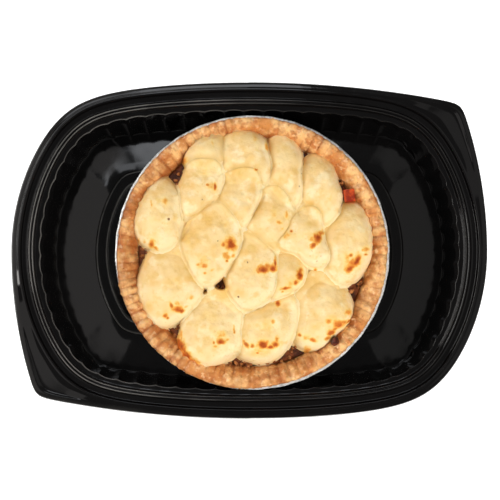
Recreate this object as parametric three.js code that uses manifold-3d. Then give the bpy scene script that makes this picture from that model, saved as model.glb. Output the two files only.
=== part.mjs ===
// A small shepherd's pie with piped potato, in its foil tin, standing in a black meal tray.
// Millimetres, +Z up. The tray's long way is X, and the origin is the middle of its underside.

import * as THREE from 'three';
import { mergeVertices } from 'three/addons/utils/BufferGeometryUtils.js';
import Module from 'manifold-3d';

const wasm = await Module();
wasm.setup();

// Tray: outline, heights and sheet
const trayHalfLength = 133;
const trayHalfWidth = 94.2;
const trayEndRadius = 120;
const traySideRadius = 640;
const trayCornerPower = 17;
const wallFootCornerPower = 55;
const wallCornerPower = 26;
const ribCornerPower = 30;
const tabEndRadius = 245;
const tabSideRadius = 590;
const tabCornerPower = 58;
const traySheet = 0.8;
const rimHeight = 38;
const ledgeInset = 16;
const ledgeHeight = 34.4;
const wallFootEnd = 21.2;
const wallFootSide = 21.9;
const footBand = 3.2;
const ribEnd = 44.7;
const ribSide = 43.4;
const ribWidth = 6.5;
const ribHeight = 4.2;
const plateauHeight = 3.7;
const flutes = 60;
const samplesPerFlute = 3;
const fluteDepth = 1.4;

// Foil tin and pastry, about the pie's own centre
const pieCentre = new THREE.Vector2(1.6, -1.3);
const gap = 0.35;
const tinFoil = 0.4;
const tinBaseRadius = 60;
const tinMouthRadius = 72.4;
const tinRimRadius = 76.4;
const tinRimHeight = 36.4;
const tinPleats = 36;
const pleatDepth = 0.3;
const pastryThickness = 4;
const pastryRimRadius = 75.0;
const pastryCrestRadius = 72.9;
const pastryCrestHeight = 41.6;
const pastryInnerEdge = 69;
const pastryInnerEdgeHeight = 39.8;
const pastryInnerMouth = 64.2;
const pastrySectors = 56;
const rimSamplesPerSector = 3;
const rimRidgeDepth = 0.55;

// Filling and what lies loose on it
const fillingHeight = 33.2;
const fillingLump = 0.9;
const fillingEdgeDip = 1.2;
const carrotSide = 6.2;
const crumbLength = 5.2;

// Piped potato
const potatoBase = 34.5;
const tuckedHeightShare = 0.62;
const fullHeightFrom = 0.35;
const domePower = 2.5;
const overhead = pastryCrestHeight + 30;

// Each dollop: its middle from the pie's centre, its height, the way its tucked end points in degrees
// from +X, and how far its outline lies from its middle at equal angles from +X.
const dollops = [
  {
    x: -25.4, y: 58.4, high: 11.2, turn: 73,
    reach: [11.7, 12.3, 13.1, 11.9, 10.6, 9.8, 8.8, 8.7, 9.0,
      10.2, 13.7, 16.8, 15.1, 14.6, 14.8, 15.3, 14.1, 12.3],
  },
  {
    x: -3.0, y: 56.2, high: 12.0, turn: 98,
    reach: [11.6, 12.4, 12.7, 12.2, 12.7, 13.7, 14.9, 15.9, 13.1,
      12.5, 13.6, 16.2, 18.2, 17.2, 20.5, 21.6, 17.0, 14.0],
  },
  {
    x: -52.9, y: 22.0, high: 11.6, turn: 82,
    reach: [12.8, 13.2, 15.5, 18.1, 21.1, 18.2, 14.7, 13.0, 12.5,
      13.6, 15.6, 17.4, 20.1, 21.1, 21.7, 20.4, 17.7, 14.8],
  },
  {
    x: -28.2, y: 36.0, high: 11.0, turn: 78,
    reach: [11.2, 13.0, 14.9, 16.6, 15.3, 15.3, 15.1, 13.2, 12.4,
      13.4, 15.3, 18.0, 22.3, 16.5, 12.0, 10.7, 10.6, 10.6],
  },
  {
    x: 18.3, y: 47.2, high: 11.4, turn: 98,
    reach: [9.0, 10.5, 12.3, 14.5, 18.1, 20.7, 18.5, 13.6, 10.4,
      9.5, 10.8, 16.2, 18.3, 21.0, 26.3, 17.7, 11.4, 9.0],
  },
  {
    x: -5.8, y: 31.0, high: 11.4, turn: 78,
    reach: [10.2, 11.2, 13.0, 16.0, 15.3, 14.9, 15.0, 15.3, 15.2,
      15.6, 15.8, 14.5, 15.5, 19.3, 16.2, 11.7, 10.1, 9.6],
  },
  {
    x: -22.6, y: 4.0, high: 12.4, turn: 77,
    reach: [16.0, 17.4, 18.7, 20.3, 24.4, 20.1, 18.0, 17.3, 16.2,
      16.7, 16.4, 17.2, 19.9, 24.7, 21.9, 16.9, 14.6, 15.3],
  },
  {
    x: 9.9, y: 19.7, high: 11.4, turn: 74,
    reach: [15.0, 13.3, 13.6, 15.5, 17.2, 15.8, 12.2, 11.3, 11.3,
      13.0, 17.6, 17.0, 16.8, 19.2, 19.7, 16.4, 14.9, 14.8],
  },
  {
    x: 37.4, y: 36.0, high: 11.4, turn: 100,
    reach: [11.9, 11.1, 12.2, 15.3, 17.8, 19.8, 17.9, 16.5, 14.6,
      14.0, 14.6, 14.5, 15.0, 19.7, 21.6, 17.9, 15.6, 14.2],
  },
  {
    x: -47.3, y: -19.5, high: 11.6, turn: 80,
    reach: [21.5, 21.9, 20.5, 24.0, 26.7, 26.6, 22.2, 18.4, 17.9,
      17.8, 18.1, 19.5, 21.8, 24.1, 21.6, 19.2, 18.1, 19.1],
  },
  {
    x: -0.7, y: -12.8, high: 12.6, turn: 79,
    reach: [13.6, 15.5, 17.7, 17.7, 20.4, 24.5, 19.5, 15.4, 14.8,
      16.2, 15.7, 16.0, 17.6, 20.4, 17.7, 16.9, 15.6, 14.2],
  },
  {
    x: 28.4, y: 9.1, high: 12.0, turn: 78,
    reach: [11.1, 11.0, 12.8, 16.6, 16.4, 14.3, 11.3, 9.2, 9.0,
      10.6, 15.6, 13.5, 11.2, 12.3, 18.0, 20.8, 18.9, 12.8],
  },
  {
    x: 19.5, y: -10.5, high: 12.0, turn: 66,
    reach: [10.5, 11.4, 12.5, 13.0, 13.1, 13.6, 14.2, 11.9, 10.3,
      10.2, 11.5, 15.6, 18.8, 14.2, 12.3, 11.5, 11.0, 10.3],
  },
  {
    x: -23.2, y: -43.6, high: 11.6, turn: 70,
    reach: [16.2, 18.5, 20.9, 23.2, 24.5, 22.2, 20.0, 18.8, 18.2,
      16.8, 19.8, 23.1, 23.9, 22.2, 20.0, 19.5, 20.3, 17.8],
  },
  {
    x: 53.1, y: 6.8, high: 11.8, turn: 93,
    reach: [14.5, 15.3, 17.1, 20.0, 22.0, 20.9, 16.6, 15.5, 16.0,
      16.5, 17.6, 19.9, 21.4, 25.3, 24.0, 19.6, 17.3, 15.1],
  },
  {
    x: 7.7, y: -42.5, high: 12.0, turn: 76,
    reach: [16.0, 18.4, 21.8, 23.5, 19.2, 14.8, 13.5, 15.9, 17.3,
      16.6, 16.9, 18.3, 18.5, 18.5, 18.4, 17.6, 15.9, 15.2],
  },
  {
    x: 39.1, y: -33.0, high: 12.0, turn: 72,
    reach: [17.2, 17.8, 18.1, 19.9, 22.7, 23.7, 19.8, 17.4, 17.5,
      18.0, 19.6, 24.0, 24.7, 22.8, 17.9, 15.1, 15.8, 16.6],
  },
];

// The dollops' numbers, counted from 1, in the order in which they were laid, the lowest first.
const laid = [17, 15, 16, 14, 13, 10, 9, 5, 1, 2, 8, 12, 11, 6, 4, 3, 7];

const blackPlastic = { color: 0x0f0e0e, roughness: 0.25, metalness: 0 };
const foil = { color: 0xd8d6d2, roughness: 0.3, metalness: 1 };
const bakedPastry = { color: 0xd69a63, roughness: 0.75, metalness: 0 };
const meatFilling = { color: 0x4d2411, roughness: 0.45, metalness: 0 };
const potato = { color: 0xf3d896, roughness: 0.6, metalness: 0 };
const carrot = { color: 0xc5401c, roughness: 0.45, metalness: 0 };

// ---- Meshes and solids ----

function geometryFrom(points, triangles) {
  const geometry = new THREE.BufferGeometry();
  geometry.setAttribute('position', new THREE.Float32BufferAttribute(points.flatMap(p => [p.x, p.y, p.z]), 3));
  geometry.setIndex(triangles.flat());
  return geometry;
}

// Joins two closed rings of points, where the second has as many points or a whole multiple more or fewer.
function joinRings(from, fromCount, to, toCount) {
  if (fromCount > toCount) {
    return joinRings(to, toCount, from, fromCount).map(([a, b, c]) => [a, c, b]);
  }
  const share = toCount / fromCount;
  const middle = Math.ceil(share / 2);
  const triangles = [];
  for (let i = 0; i < fromCount; i += 1) {
    const here = from + i;
    const next = from + (i + 1) % fromCount;
    for (let j = 0; j < share; j += 1) {
      const near = to + i * share + j;
      const far = to + (i * share + j + 1) % toCount;
      triangles.push([j < middle ? here : next, far, near]);
    }
    triangles.push([here, next, to + (i * share + middle) % toCount]);
  }
  return triangles;
}

// A closed body from rings of points, run from one pole to the other.
function loft(rings, firstPole, lastPole) {
  const points = [firstPole];
  const triangles = [];
  let last = 0;
  let lastCount = 1;
  for (const ring of rings) {
    const start = points.length;
    points.push(...ring);
    if (lastCount === 1) {
      ring.forEach((_, i) => triangles.push([0, start + (i + 1) % ring.length, start + i]));
    } else {
      triangles.push(...joinRings(last, lastCount, start, ring.length));
    }
    last = start;
    lastCount = ring.length;
  }
  const pole = points.length;
  points.push(lastPole);
  for (let i = 0; i < lastCount; i += 1) {
    triangles.push([pole, last + i, last + (i + 1) % lastCount]);
  }
  return facingOut(geometryFrom(points, triangles));
}

function signedVolume(geometry) {
  const position = geometry.attributes.position;
  const index = geometry.index;
  const corner = [new THREE.Vector3(), new THREE.Vector3(), new THREE.Vector3()];
  let volume = 0;
  for (let i = 0; i < index.count; i += 3) {
    corner.forEach((point, k) => point.fromBufferAttribute(position, index.getX(i + k)));
    volume += corner[0].dot(corner[1].clone().cross(corner[2])) / 6;
  }
  return volume;
}

function facingOut(geometry) {
  if (signedVolume(geometry) < 0) {
    const index = Array.from(geometry.index.array);
    for (let i = 0; i < index.length; i += 3) {
      [index[i + 1], index[i + 2]] = [index[i + 2], index[i + 1]];
    }
    geometry.setIndex(index);
  }
  return geometry;
}

function solidOf(geometry) {
  const bare = geometry.clone();
  bare.deleteAttribute('normal');
  bare.deleteAttribute('uv');
  const merged = mergeVertices(bare, 1e-4);
  return new wasm.Manifold(new wasm.Mesh({
    numProp: 3,
    vertProperties: new Float32Array(merged.attributes.position.array),
    triVerts: new Uint32Array(merged.index.array),
  }));
}

function geometryOf(solid) {
  const mesh = solid.getMesh();
  const geometry = new THREE.BufferGeometry();
  geometry.setAttribute('position', new THREE.BufferAttribute(new Float32Array(mesh.vertProperties), 3));
  geometry.setIndex(new THREE.BufferAttribute(new Uint32Array(mesh.triVerts), 1));
  return geometry;
}

function largestPiece(solid) {
  return solid.decompose().reduce((best, piece) => (piece.volume() > best.volume() ? piece : best));
}

function part(name, surface, geometry) {
  const mesh = new THREE.Mesh(geometry, new THREE.MeshStandardMaterial(surface));
  mesh.name = name;
  return mesh;
}

// Smooth unevenness between -1 and 1 that comes round to itself once round the pie.
function unevenness(angle, waves) {
  return (Math.sin(waves * angle + 0.7) + Math.sin((waves + 5) * angle + 2.1) + Math.sin((2 * waves + 3) * angle)) / 3;
}

// ---- Tray ----

function plan(endInset, sideInset, cornerPower) {
  return {
    halfLength: trayHalfLength - endInset,
    halfWidth: trayHalfWidth - sideInset,
    endRadius: trayEndRadius - endInset,
    sideRadius: traySideRadius - sideInset,
    cornerPower,
  };
}

// Distance from the centre to a bowed side, at the given cosine from the way to the side's middle.
function distanceToSide(cosine, middle, radius) {
  const centre = middle - radius;
  return cosine * centre + Math.sqrt((cosine * centre) ** 2 - centre ** 2 + radius ** 2);
}

function planDistance(angle, shape) {
  const end = distanceToSide(Math.abs(Math.cos(angle)), shape.halfLength, shape.endRadius);
  const side = distanceToSide(Math.abs(Math.sin(angle)), shape.halfWidth, shape.sideRadius);
  return (end ** -shape.cornerPower + side ** -shape.cornerPower) ** (-1 / shape.cornerPower);
}

// The flange's outer edge: two opposite corners are drawn out to tabs.
function flangeDistance(angle, inset) {
  const rounded = planDistance(angle, plan(inset, inset, trayCornerPower));
  const tabbed = planDistance(angle, {
    ...plan(inset, inset, tabCornerPower),
    endRadius: tabEndRadius - inset,
    sideRadius: tabSideRadius - inset,
  });
  const hasTab = Math.sin(2 * angle) > 0;
  return hasTab ? Math.max(rounded, tabbed) : rounded;
}

// Points evenly spaced along the ledge's edge, with the way out square to it. The first faces a tab's tip.
function ledgePoints(count) {
  const fine = 3600;
  const step = 0.5;
  const shape = plan(ledgeInset, ledgeInset, trayCornerPower);
  const curve = Array.from({ length: fine + 1 }, (_, i) => {
    const angle = 2 * Math.PI * i / fine;
    const distance = planDistance(angle, shape);
    return new THREE.Vector2(distance * Math.cos(angle), distance * Math.sin(angle));
  });
  const lengths = [0];
  for (let i = 1; i <= fine; i += 1) {
    lengths.push(lengths[i - 1] + curve[i].distanceTo(curve[i - 1]));
  }
  const pointAt = length => {
    const whole = lengths[fine];
    const wanted = ((length % whole) + whole) % whole;
    const i = Math.max(1, lengths.findIndex(value => value >= wanted));
    const share = (wanted - lengths[i - 1]) / (lengths[i] - lengths[i - 1]);
    const along = curve[i].clone().sub(curve[i - 1]).normalize();
    return { at: curve[i - 1].clone().lerp(curve[i], share), out: new THREE.Vector2(along.y, -along.x) };
  };
  const quarter = lengths[fine] / 4;
  let tip = 0;
  let reach = 0;
  for (let length = 0; length < quarter; length += step) {
    const found = pointOutTo(pointAt(length), angle => flangeDistance(angle, 0)).length();
    if (found > reach) {
      reach = found;
      tip = length;
    }
  }
  return Array.from({ length: count }, (_, i) => pointAt(tip + i * lengths[fine] / count));
}

// Where the line square to the ledge through a point meets the curve with the given distance from the centre.
function pointOutTo(ledgePoint, distanceAt) {
  const halvings = 40;
  let low = -trayHalfWidth + 2 * ledgeInset;
  let high = 3 * ledgeInset;
  for (let i = 0; i < halvings; i += 1) {
    const middle = (low + high) / 2;
    const point = ledgePoint.at.clone().addScaledVector(ledgePoint.out, middle);
    const inside = point.length() < distanceAt(Math.atan2(point.y, point.x));
    low = inside ? middle : low;
    high = inside ? high : middle;
  }
  return ledgePoint.at.clone().addScaledVector(ledgePoint.out, low);
}

// The sheet's upper face from the skirt's hem to the middle: how far in from the outline at the ends
// and sides, and how high.
const trayProfile = [
  { end: 0, side: 0, z: 33.5, edge: 'flange' },
  { end: 0.7, side: 0.7, z: 37.0, edge: 'flange' },
  { end: 4.4, side: 4.4, z: rimHeight },
  { end: 6.2, side: 6.2, z: 36.2 },
  { end: 9.6, side: 9.6, z: 36.2 },
  { end: 10.6, side: 10.6, z: 37.5 },
  { end: 12.3, side: 12.3, z: 37.3 },
  { end: 13.1, side: 13.1, z: 35.0 },
  { end: ledgeInset, side: ledgeInset, z: ledgeHeight, edge: 'fluted' },
  { end: 19.8, side: 20.4, z: 9, edge: 'fluted', power: wallCornerPower },
  { end: wallFootEnd, side: wallFootSide, z: traySheet, power: wallFootCornerPower },
  { end: wallFootEnd + footBand, side: wallFootSide + footBand, z: traySheet, power: wallFootCornerPower },
  { end: ribEnd, side: ribSide, z: ribHeight - 1, power: ribCornerPower },
  { end: ribEnd + 0.6, side: ribSide + 0.6, z: ribHeight, power: ribCornerPower },
  { end: ribEnd + ribWidth, side: ribSide + ribWidth, z: ribHeight, power: ribCornerPower },
  { end: ribEnd + ribWidth + 0.6, side: ribSide + ribWidth + 0.6, z: plateauHeight, power: ribCornerPower },
];

// The same profile one sheet thickness below, with its corners mitred.
function sheetUnderside(profile) {
  const below = (from, to) => {
    const along = new THREE.Vector2(to.end - from.end, to.z - from.z).normalize();
    return new THREE.Vector2(along.y, -along.x);
  };
  return profile.map((point, i) => {
    const before = below(profile[Math.max(0, i - 1)], profile[Math.max(1, i)]);
    const last = profile.length - 1;
    const after = i < last ? below(point, profile[i + 1]) : new THREE.Vector2(0, -1);
    const mitre = before.clone().add(after).multiplyScalar(traySheet / (1 + before.dot(after)));
    return { ...point, end: point.end + mitre.x, side: point.side + mitre.x, z: point.z + mitre.y };
  });
}

// One closed line of the profile round the tray. The flange's edge has twice the plain lines' points, so
// that its tabs keep their corners, and a fluted line turns in at each flute's cusp.
function trayRing(point, lines) {
  const shape = plan(point.end, point.side, point.power ?? trayCornerPower);
  const distanceAt = point.edge === 'flange'
    ? angle => flangeDistance(angle, point.end)
    : angle => planDistance(angle, shape);
  return lines[point.edge ?? 'plain'].map((sample, i) => {
    const place = pointOutTo(sample, distanceAt);
    const atCusp = point.edge === 'fluted' && i % samplesPerFlute === 0;
    place.addScaledVector(sample.out, atCusp ? -fluteDepth : 0);
    return new THREE.Vector3(place.x, place.y, point.z);
  });
}

function tray() {
  const lines = {
    flange: ledgePoints(flutes * 2),
    plain: ledgePoints(flutes),
    fluted: ledgePoints(flutes * samplesPerFlute),
  };
  const upper = trayProfile.map(point => trayRing(point, lines));
  const lower = sheetUnderside(trayProfile).map(point => trayRing(point, lines));
  const top = new THREE.Vector3(0, 0, plateauHeight);
  const bottom = new THREE.Vector3(0, 0, plateauHeight - traySheet);
  return loft([...upper.reverse(), ...lower], top, bottom);
}

// ---- Round pieces about the pie's centre ----

function pieRing(radius, z, count, shift = () => [0, 0]) {
  return Array.from({ length: count }, (_, i) => {
    const angle = 2 * Math.PI * i / count;
    const [outward, upward] = shift(i, angle);
    const reach = radius + outward;
    return new THREE.Vector3(
      pieCentre.x + reach * Math.cos(angle),
      pieCentre.y + reach * Math.sin(angle),
      z + upward,
    );
  });
}

function pieAxis(z) {
  return new THREE.Vector3(pieCentre.x, pieCentre.y, z);
}

const tinBase = ribHeight + gap;

function foilTin() {
  const count = 2 * tinPleats;
  const pleat = i => [(i % 2 ? 1 : -1) * pleatDepth, (i % 2 ? 1 : -1) * pleatDepth];
  const wallPleat = i => [(i % 2 ? 1 : -1) * pleatDepth, 0];
  const rings = [
    pieRing(tinBaseRadius, tinBase + tinFoil, count),
    pieRing(tinMouthRadius, tinRimHeight, count, wallPleat),
    pieRing(tinRimRadius, tinRimHeight, count, pleat),
    pieRing(tinRimRadius, tinRimHeight - tinFoil, count, pleat),
    pieRing(tinMouthRadius + tinFoil, tinRimHeight - tinFoil, count, wallPleat),
    pieRing(tinBaseRadius + tinFoil, tinBase, count),
  ];
  return loft(rings, pieAxis(tinBase + tinFoil), pieAxis(tinBase));
}

const pastryBase = tinBase + tinFoil + gap;
const pastryFloor = pastryBase + pastryThickness;
const pastryInnerFoot = tinBaseRadius - pastryThickness + 1;

// The rings of the pastry's upper side from its outer rim to its floor, clear of it by a margin.
function pastryUpperRings(margin) {
  const ridge = (i, angle) => {
    const depth = rimRidgeDepth * (i % rimSamplesPerSector === 0 ? -1 : 0.5);
    return [depth + 0.35 * unevenness(angle, 7), 0.7 * depth + 0.5 * unevenness(angle, 4)];
  };
  const rimCount = pastrySectors * rimSamplesPerSector;
  return [
    pieRing(pastryCrestRadius, pastryCrestHeight + margin, rimCount, ridge),
    pieRing(pastryInnerEdge - margin, pastryInnerEdgeHeight + margin, rimCount, ridge),
    pieRing(pastryInnerMouth - margin, fillingHeight, pastrySectors),
    pieRing(pastryInnerFoot - margin, pastryFloor + margin, pastrySectors),
  ];
}

function pastryCase() {
  const overRim = tinRimHeight + pleatDepth + gap;
  const rings = [
    pieRing(tinBaseRadius - gap, pastryBase, pastrySectors),
    pieRing(tinMouthRadius - gap - pleatDepth, tinRimHeight, pastrySectors),
    pieRing(pastryRimRadius - 0.4, overRim, pastrySectors),
    pieRing(pastryRimRadius, (overRim + pastryCrestHeight) / 2, pastrySectors),
    ...pastryUpperRings(0),
  ];
  return loft(rings, pieAxis(pastryBase), pieAxis(pastryFloor));
}

// The space over the pastry that the potato and the loose pieces may fill.
function roomOverPastry() {
  const [crest, ...inside] = pastryUpperRings(gap);
  const top = crest.map(point => point.clone().setZ(overhead));
  const upward = [...inside].reverse();
  return loft([...upward, crest, top], pieAxis(pastryFloor + gap), pieAxis(overhead));
}

function filling() {
  const lumps = (i, angle) => [0, fillingLump * unevenness(angle, 11)];
  const rings = [
    pieRing(pastryInnerFoot - gap, pastryFloor + gap, pastrySectors),
    pieRing(pastryInnerMouth - 2 * gap, fillingHeight - fillingEdgeDip, pastrySectors),
    pieRing(pastryInnerMouth - 3, fillingHeight, pastrySectors, lumps),
    pieRing(pastryInnerMouth - 8, fillingHeight, pastrySectors / 2, lumps),
  ];
  return loft(rings, pieAxis(pastryFloor + gap), pieAxis(fillingHeight));
}

// ---- Piped potato ----

// One dollop: a mound with its own outline, low where it is tucked in and highest near its free end.
// With a margin it is the room that the dollop takes from its neighbours, down past its flat base.
function dollopBody(shape, margin = 0) {
  const shares = [0.34, 0.62, 0.83, 0.955, 1];
  const sectors = shape.reach.length;
  const turn = THREE.MathUtils.degToRad(shape.turn);
  const angleOf = i => 2 * Math.PI * i / sectors;
  const halfLong = Math.max(...shape.reach.map((reach, i) => Math.abs(reach * Math.cos(angleOf(i) - turn))));
  const place = (share, i) => {
    const distance = share * (shape.reach[i] + margin);
    const toFree = -distance * Math.cos(angleOf(i) - turn) / halfLong;
    const rise = Math.sin(Math.PI / 2 * Math.min(1, Math.max(0, toFree + 1) / (1 + fullHeightFrom)));
    const plump = tuckedHeightShare + (1 - tuckedHeightShare) * rise;
    const dome = Math.sqrt(Math.max(0, 1 - share ** domePower));
    return new THREE.Vector3(
      pieCentre.x + shape.x + distance * Math.cos(angleOf(i)),
      pieCentre.y + shape.y + distance * Math.sin(angleOf(i)),
      potatoBase + (share < 1 ? margin : 0) + shape.high * plump * dome,
    );
  };
  const rings = shares.map(share => shape.reach.map((_, i) => place(share, i)));
  const base = potatoBase - 5 * margin;
  if (margin > 0) {
    rings.push(rings[rings.length - 1].map(point => point.clone().setZ(base)));
  }
  return loft(rings, place(0, 0), place(0, 0).setZ(base));
}

// Fits a body into the room over the pastry and cuts it back from the pieces that it lies against.
function cutBack(geometry, room, obstacles) {
  const cut = obstacles.reduce((solid, obstacle) => solid.subtract(obstacle), solidOf(geometry).intersect(room));
  return largestPiece(cut);
}

// ---- Loose pieces at the crust ----

function carrotDie(room, obstacles) {
  const box = new THREE.BoxGeometry(carrotSide, carrotSide * 1.15, carrotSide * 0.8);
  box.rotateZ(THREE.MathUtils.degToRad(8));
  box.translate(pieCentre.x + 54.0, pieCentre.y + 31.4, potatoBase + 1.6);
  return cutBack(box, room, obstacles);
}

function minceCrumb(room, obstacles) {
  const lump = new THREE.IcosahedronGeometry(crumbLength / 2, 1);
  lump.scale(0.9, 1.1, 0.75);
  lump.translate(pieCentre.x + 45.6, pieCentre.y - 49.6, pastryCrestHeight - 1);
  return cutBack(lump, room, obstacles);
}

// ---- The whole ----

const group = new THREE.Group();
group.add(part('tray', blackPlastic, tray()));
group.add(part('foil_tin', foil, foilTin()));
group.add(part('pastry_case', bakedPastry, pastryCase()));
group.add(part('filling', meatFilling, filling()));

const room = solidOf(roomOverPastry());
const takenByPotato = [];
const laidBodies = new Map();
for (const number of [...laid].reverse()) {
  const shape = dollops[number - 1];
  laidBodies.set(number, cutBack(dollopBody(shape), room, takenByPotato));
  takenByPotato.push(solidOf(dollopBody(shape, gap)));
}
dollops.forEach((_, i) => {
  const name = `potato_dollop_${String(i + 1).padStart(2, '0')}`;
  group.add(part(name, potato, geometryOf(laidBodies.get(i + 1))));
});

group.add(part('carrot_die', carrot, geometryOf(carrotDie(room, takenByPotato))));
group.add(part('mince_crumb', meatFilling, geometryOf(minceCrumb(room, takenByPotato))));

export default group;
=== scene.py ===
from math import cos, pi, radians, sin

import bpy
import numpy as np
from bpy.props import FloatProperty, FloatVectorProperty, IntProperty, PointerProperty
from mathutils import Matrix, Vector


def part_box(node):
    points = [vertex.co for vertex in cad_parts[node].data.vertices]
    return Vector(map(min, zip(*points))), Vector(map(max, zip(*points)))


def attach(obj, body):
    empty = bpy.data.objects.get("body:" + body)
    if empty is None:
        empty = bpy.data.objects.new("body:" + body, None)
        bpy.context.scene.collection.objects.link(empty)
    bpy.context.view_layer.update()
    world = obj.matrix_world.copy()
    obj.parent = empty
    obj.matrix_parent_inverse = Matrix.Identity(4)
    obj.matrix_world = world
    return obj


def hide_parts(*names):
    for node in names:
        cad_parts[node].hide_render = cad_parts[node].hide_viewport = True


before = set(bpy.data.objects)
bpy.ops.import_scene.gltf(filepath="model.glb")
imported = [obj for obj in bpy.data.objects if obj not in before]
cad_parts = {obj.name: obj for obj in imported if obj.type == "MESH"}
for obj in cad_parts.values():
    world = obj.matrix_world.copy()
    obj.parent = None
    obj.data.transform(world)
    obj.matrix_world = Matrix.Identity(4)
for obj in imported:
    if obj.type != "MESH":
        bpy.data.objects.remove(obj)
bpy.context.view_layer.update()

bl_info = {
    "name": "Shepherd's Pie in a Meal Tray",
    "version": (1, 0, 0),
    "blender": (4, 5, 0),
    "location": "View3D > Sidebar > Pie",
    "description": "Builds a small shepherd's pie with piped potato, its foil tin and its black meal tray",
    "category": "Add Mesh",
}

MM = 0.001

# The tray's outline and lines, in millimetres, the same as in the model it dresses.
TRAY_HALF_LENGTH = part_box("tray")[1][0] / MM
TRAY_HALF_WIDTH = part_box("tray")[1][1] / MM
TRAY_END_RADIUS = 120
TRAY_SIDE_RADIUS = 640
TAB_END_RADIUS = 245
TAB_SIDE_RADIUS = 590
CORNER_POWER = 17
TAB_CORNER_POWER = 58
LEDGE_INSET = 16
FLUTES = 60
SAMPLES_PER_FLUTE = 10

# How finely the ledge's line is measured, and how often the search along a line out of it halves its step.
LEDGE_STEPS = 7201
HALVINGS = 30

# The tray's upper face from the skirt's hem to the rib: how far in from the outline at the ends and at
# the sides, how high, how square the corners are, how far the line follows the flutes and the tabs, and
# how strong the painted highlight along its edges is.
TRAY_PROFILE = [
    (0.0, 0.0, 33.5, 17, 0, 1, 0),
    (0.7, 0.7, 36.9, 17, 0, 1, 0.1),
    (3.3, 3.3, 37.2, 17, 0, 1, 0),
    (4.1, 4.1, 37.9, 17, 0, 0, 0),
    (5.3, 5.3, 38.0, 17, 0, 0, 0),
    (6.2, 6.2, 35.8, 17, 0, 0, 0),
    (9.4, 9.4, 35.6, 17, 0, 0, 0),
    (9.8, 9.8, 36.8, 17, 0, 0, 0),
    (10.2, 10.2, 37.4, 17, 0, 0, 0.2),
    (10.45, 10.45, 37.5, 17, 0, 0, 1),
    (10.7, 10.7, 37.5, 17, 0, 0, 0.2),
    (11.1, 11.1, 37.2, 17, 0, 0, 0),
    (11.4, 11.4, 36.8, 17, 0, 0, 0),
    (11.7, 11.7, 37.1, 17, 0, 0, 0),
    (12.1, 12.1, 37.5, 17, 0, 0, 0.3),
    (12.3, 12.3, 37.5, 17, 0, 0, 0.9),
    (12.6, 12.6, 37.3, 17, 0, 0, 0.1),
    (13.3, 13.3, 34.7, 17, 0, 0, 0),
    (15.5, 15.5, 34.5, 17, 0.5, 0, 0),
    (15.9, 15.9, 34.4, 17, 0.5, 0, 0.8),
    (16.1, 16.1, 33.4, 17, 0.6, 0, 0),
    (17.2, 17.3, 28.0, 17, 1, 0, 0),
    (19.8, 20.4, 9.0, 26, 1, 0, 0),
    (21.2, 21.9, 0.8, 55, 0.8, 0, 0.05),
    (22.4, 23.1, 0.9, 55, 0, 0, 0),
    (44.7, 43.4, 3.2, 30, 0, 0, 0),
    (45.2, 43.9, 4.3, 30, 0, 0, 0.7),
    (45.9, 44.6, 4.35, 30, 0, 0, 0),
    (50.4, 49.1, 4.35, 30, 0, 0, 0),
    (51.1, 49.8, 4.3, 30, 0, 0, 0.7),
    (51.7, 50.4, 3.2, 30, 0, 0, 0),
    (70.0, 62.0, 3.2, 20, 0, 0, 0),
    (125.0, 88.0, 3.2, 4, 0, 0, 0),
]

# How the profile's corners are rounded, how many rows its raised pad has, how far apart rows may be and
# which of them the under side keeps. Then how sharp the flutes' cusps are, how far the tabs' faces sink,
# and the side where the painted highlight along the edges is brightest.
SKIRT_ROUNDING = 0.6
LIP_ROUNDING = 0.32
ROUNDING_STEPS = 3
PAD_ROWS = 10
LONGEST_STEP = 6
TRAY_UNDER_EVERY = 3
FLUTE_CUSP = 1.2
TAB_SINK = 0.9
HIGHLIGHT_SIDE = radians(165)

# The sloping floor: the folds at each corner from the wall to the rib, where the slope starts and ends,
# and how far it sinks between two folds.
FLOOR_FOLDS = [((98.5, 52.1), (82.6, 34.5)), ((76.7, 67.2), (65.3, 47.8))]
SLOPE_START = 22.4
SLOPE_END = 44.7
CORNER_SAG = 0.5

# The round pieces, in millimetres from the pie's own middle.
PIE_MIDDLE = np.array([1.6, -1.3])
TIN_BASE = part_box("foil_tin")[0][2] / MM
TIN_BASE_RADIUS = 60
TIN_MOUTH_RADIUS = 72.4
TIN_RIM_RADIUS = 76.0
TIN_RIM_HEIGHT = 36.4
TIN_FOOT_CURVE = 0.9
TIN_WALL_ROWS = 10
SAMPLES_PER_CRIMP = 6
PASTRY_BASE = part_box("pastry_case")[0][2] / MM
PASTRY_FLOOR = PASTRY_BASE + 4
CREST_RADIUS = 72.9
CREST_HEIGHT = 41.6
INNER_EDGE = 69
INNER_MOUTH = 64.2
FILLING_HEIGHT = 33.2
FILLING_SAMPLES = 420
FILLING_RINGS = 46
POTATO_BASE = 34.5

# The crust: its section from the tin's base over the crest to the floor, how it is rounded and how far
# apart its rows are, the ridges round it, how far it hangs over the rim at the near left, and its darker
# side.
CRUST_SECTION = [
    (TIN_BASE_RADIUS - 0.6, PASTRY_BASE), (66.0, 21.0), (TIN_MOUTH_RADIUS - 1.0, 36.0), (74.3, 37.2),
    (75.0, 38.4), (74.9, 40.0), (74.2, 41.2), (CREST_RADIUS, CREST_HEIGHT), (71.0, 41.5),
    (INNER_EDGE, 40.2), (67.2, 38.0), (65.4, 35.4), (INNER_MOUTH, FILLING_HEIGHT), (61.8, 27.0),
    (57.0, PASTRY_FLOOR + 0.6), (54.0, PASTRY_FLOOR),
]
CREST_CORNER = CRUST_SECTION.index((CREST_RADIUS, CREST_HEIGHT))
MOUTH_CORNER = CRUST_SECTION.index((INNER_MOUTH, FILLING_HEIGHT))
CRUST_ROUNDING = 1.6
CRUST_STEP = 1.0
CRUST_SAMPLES = 1080
CRUST_RIDGES = 88
RIDGE_DRIFT = 0.035
OVERHANG = 1.3
BROWN_SIDE = radians(190)

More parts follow.
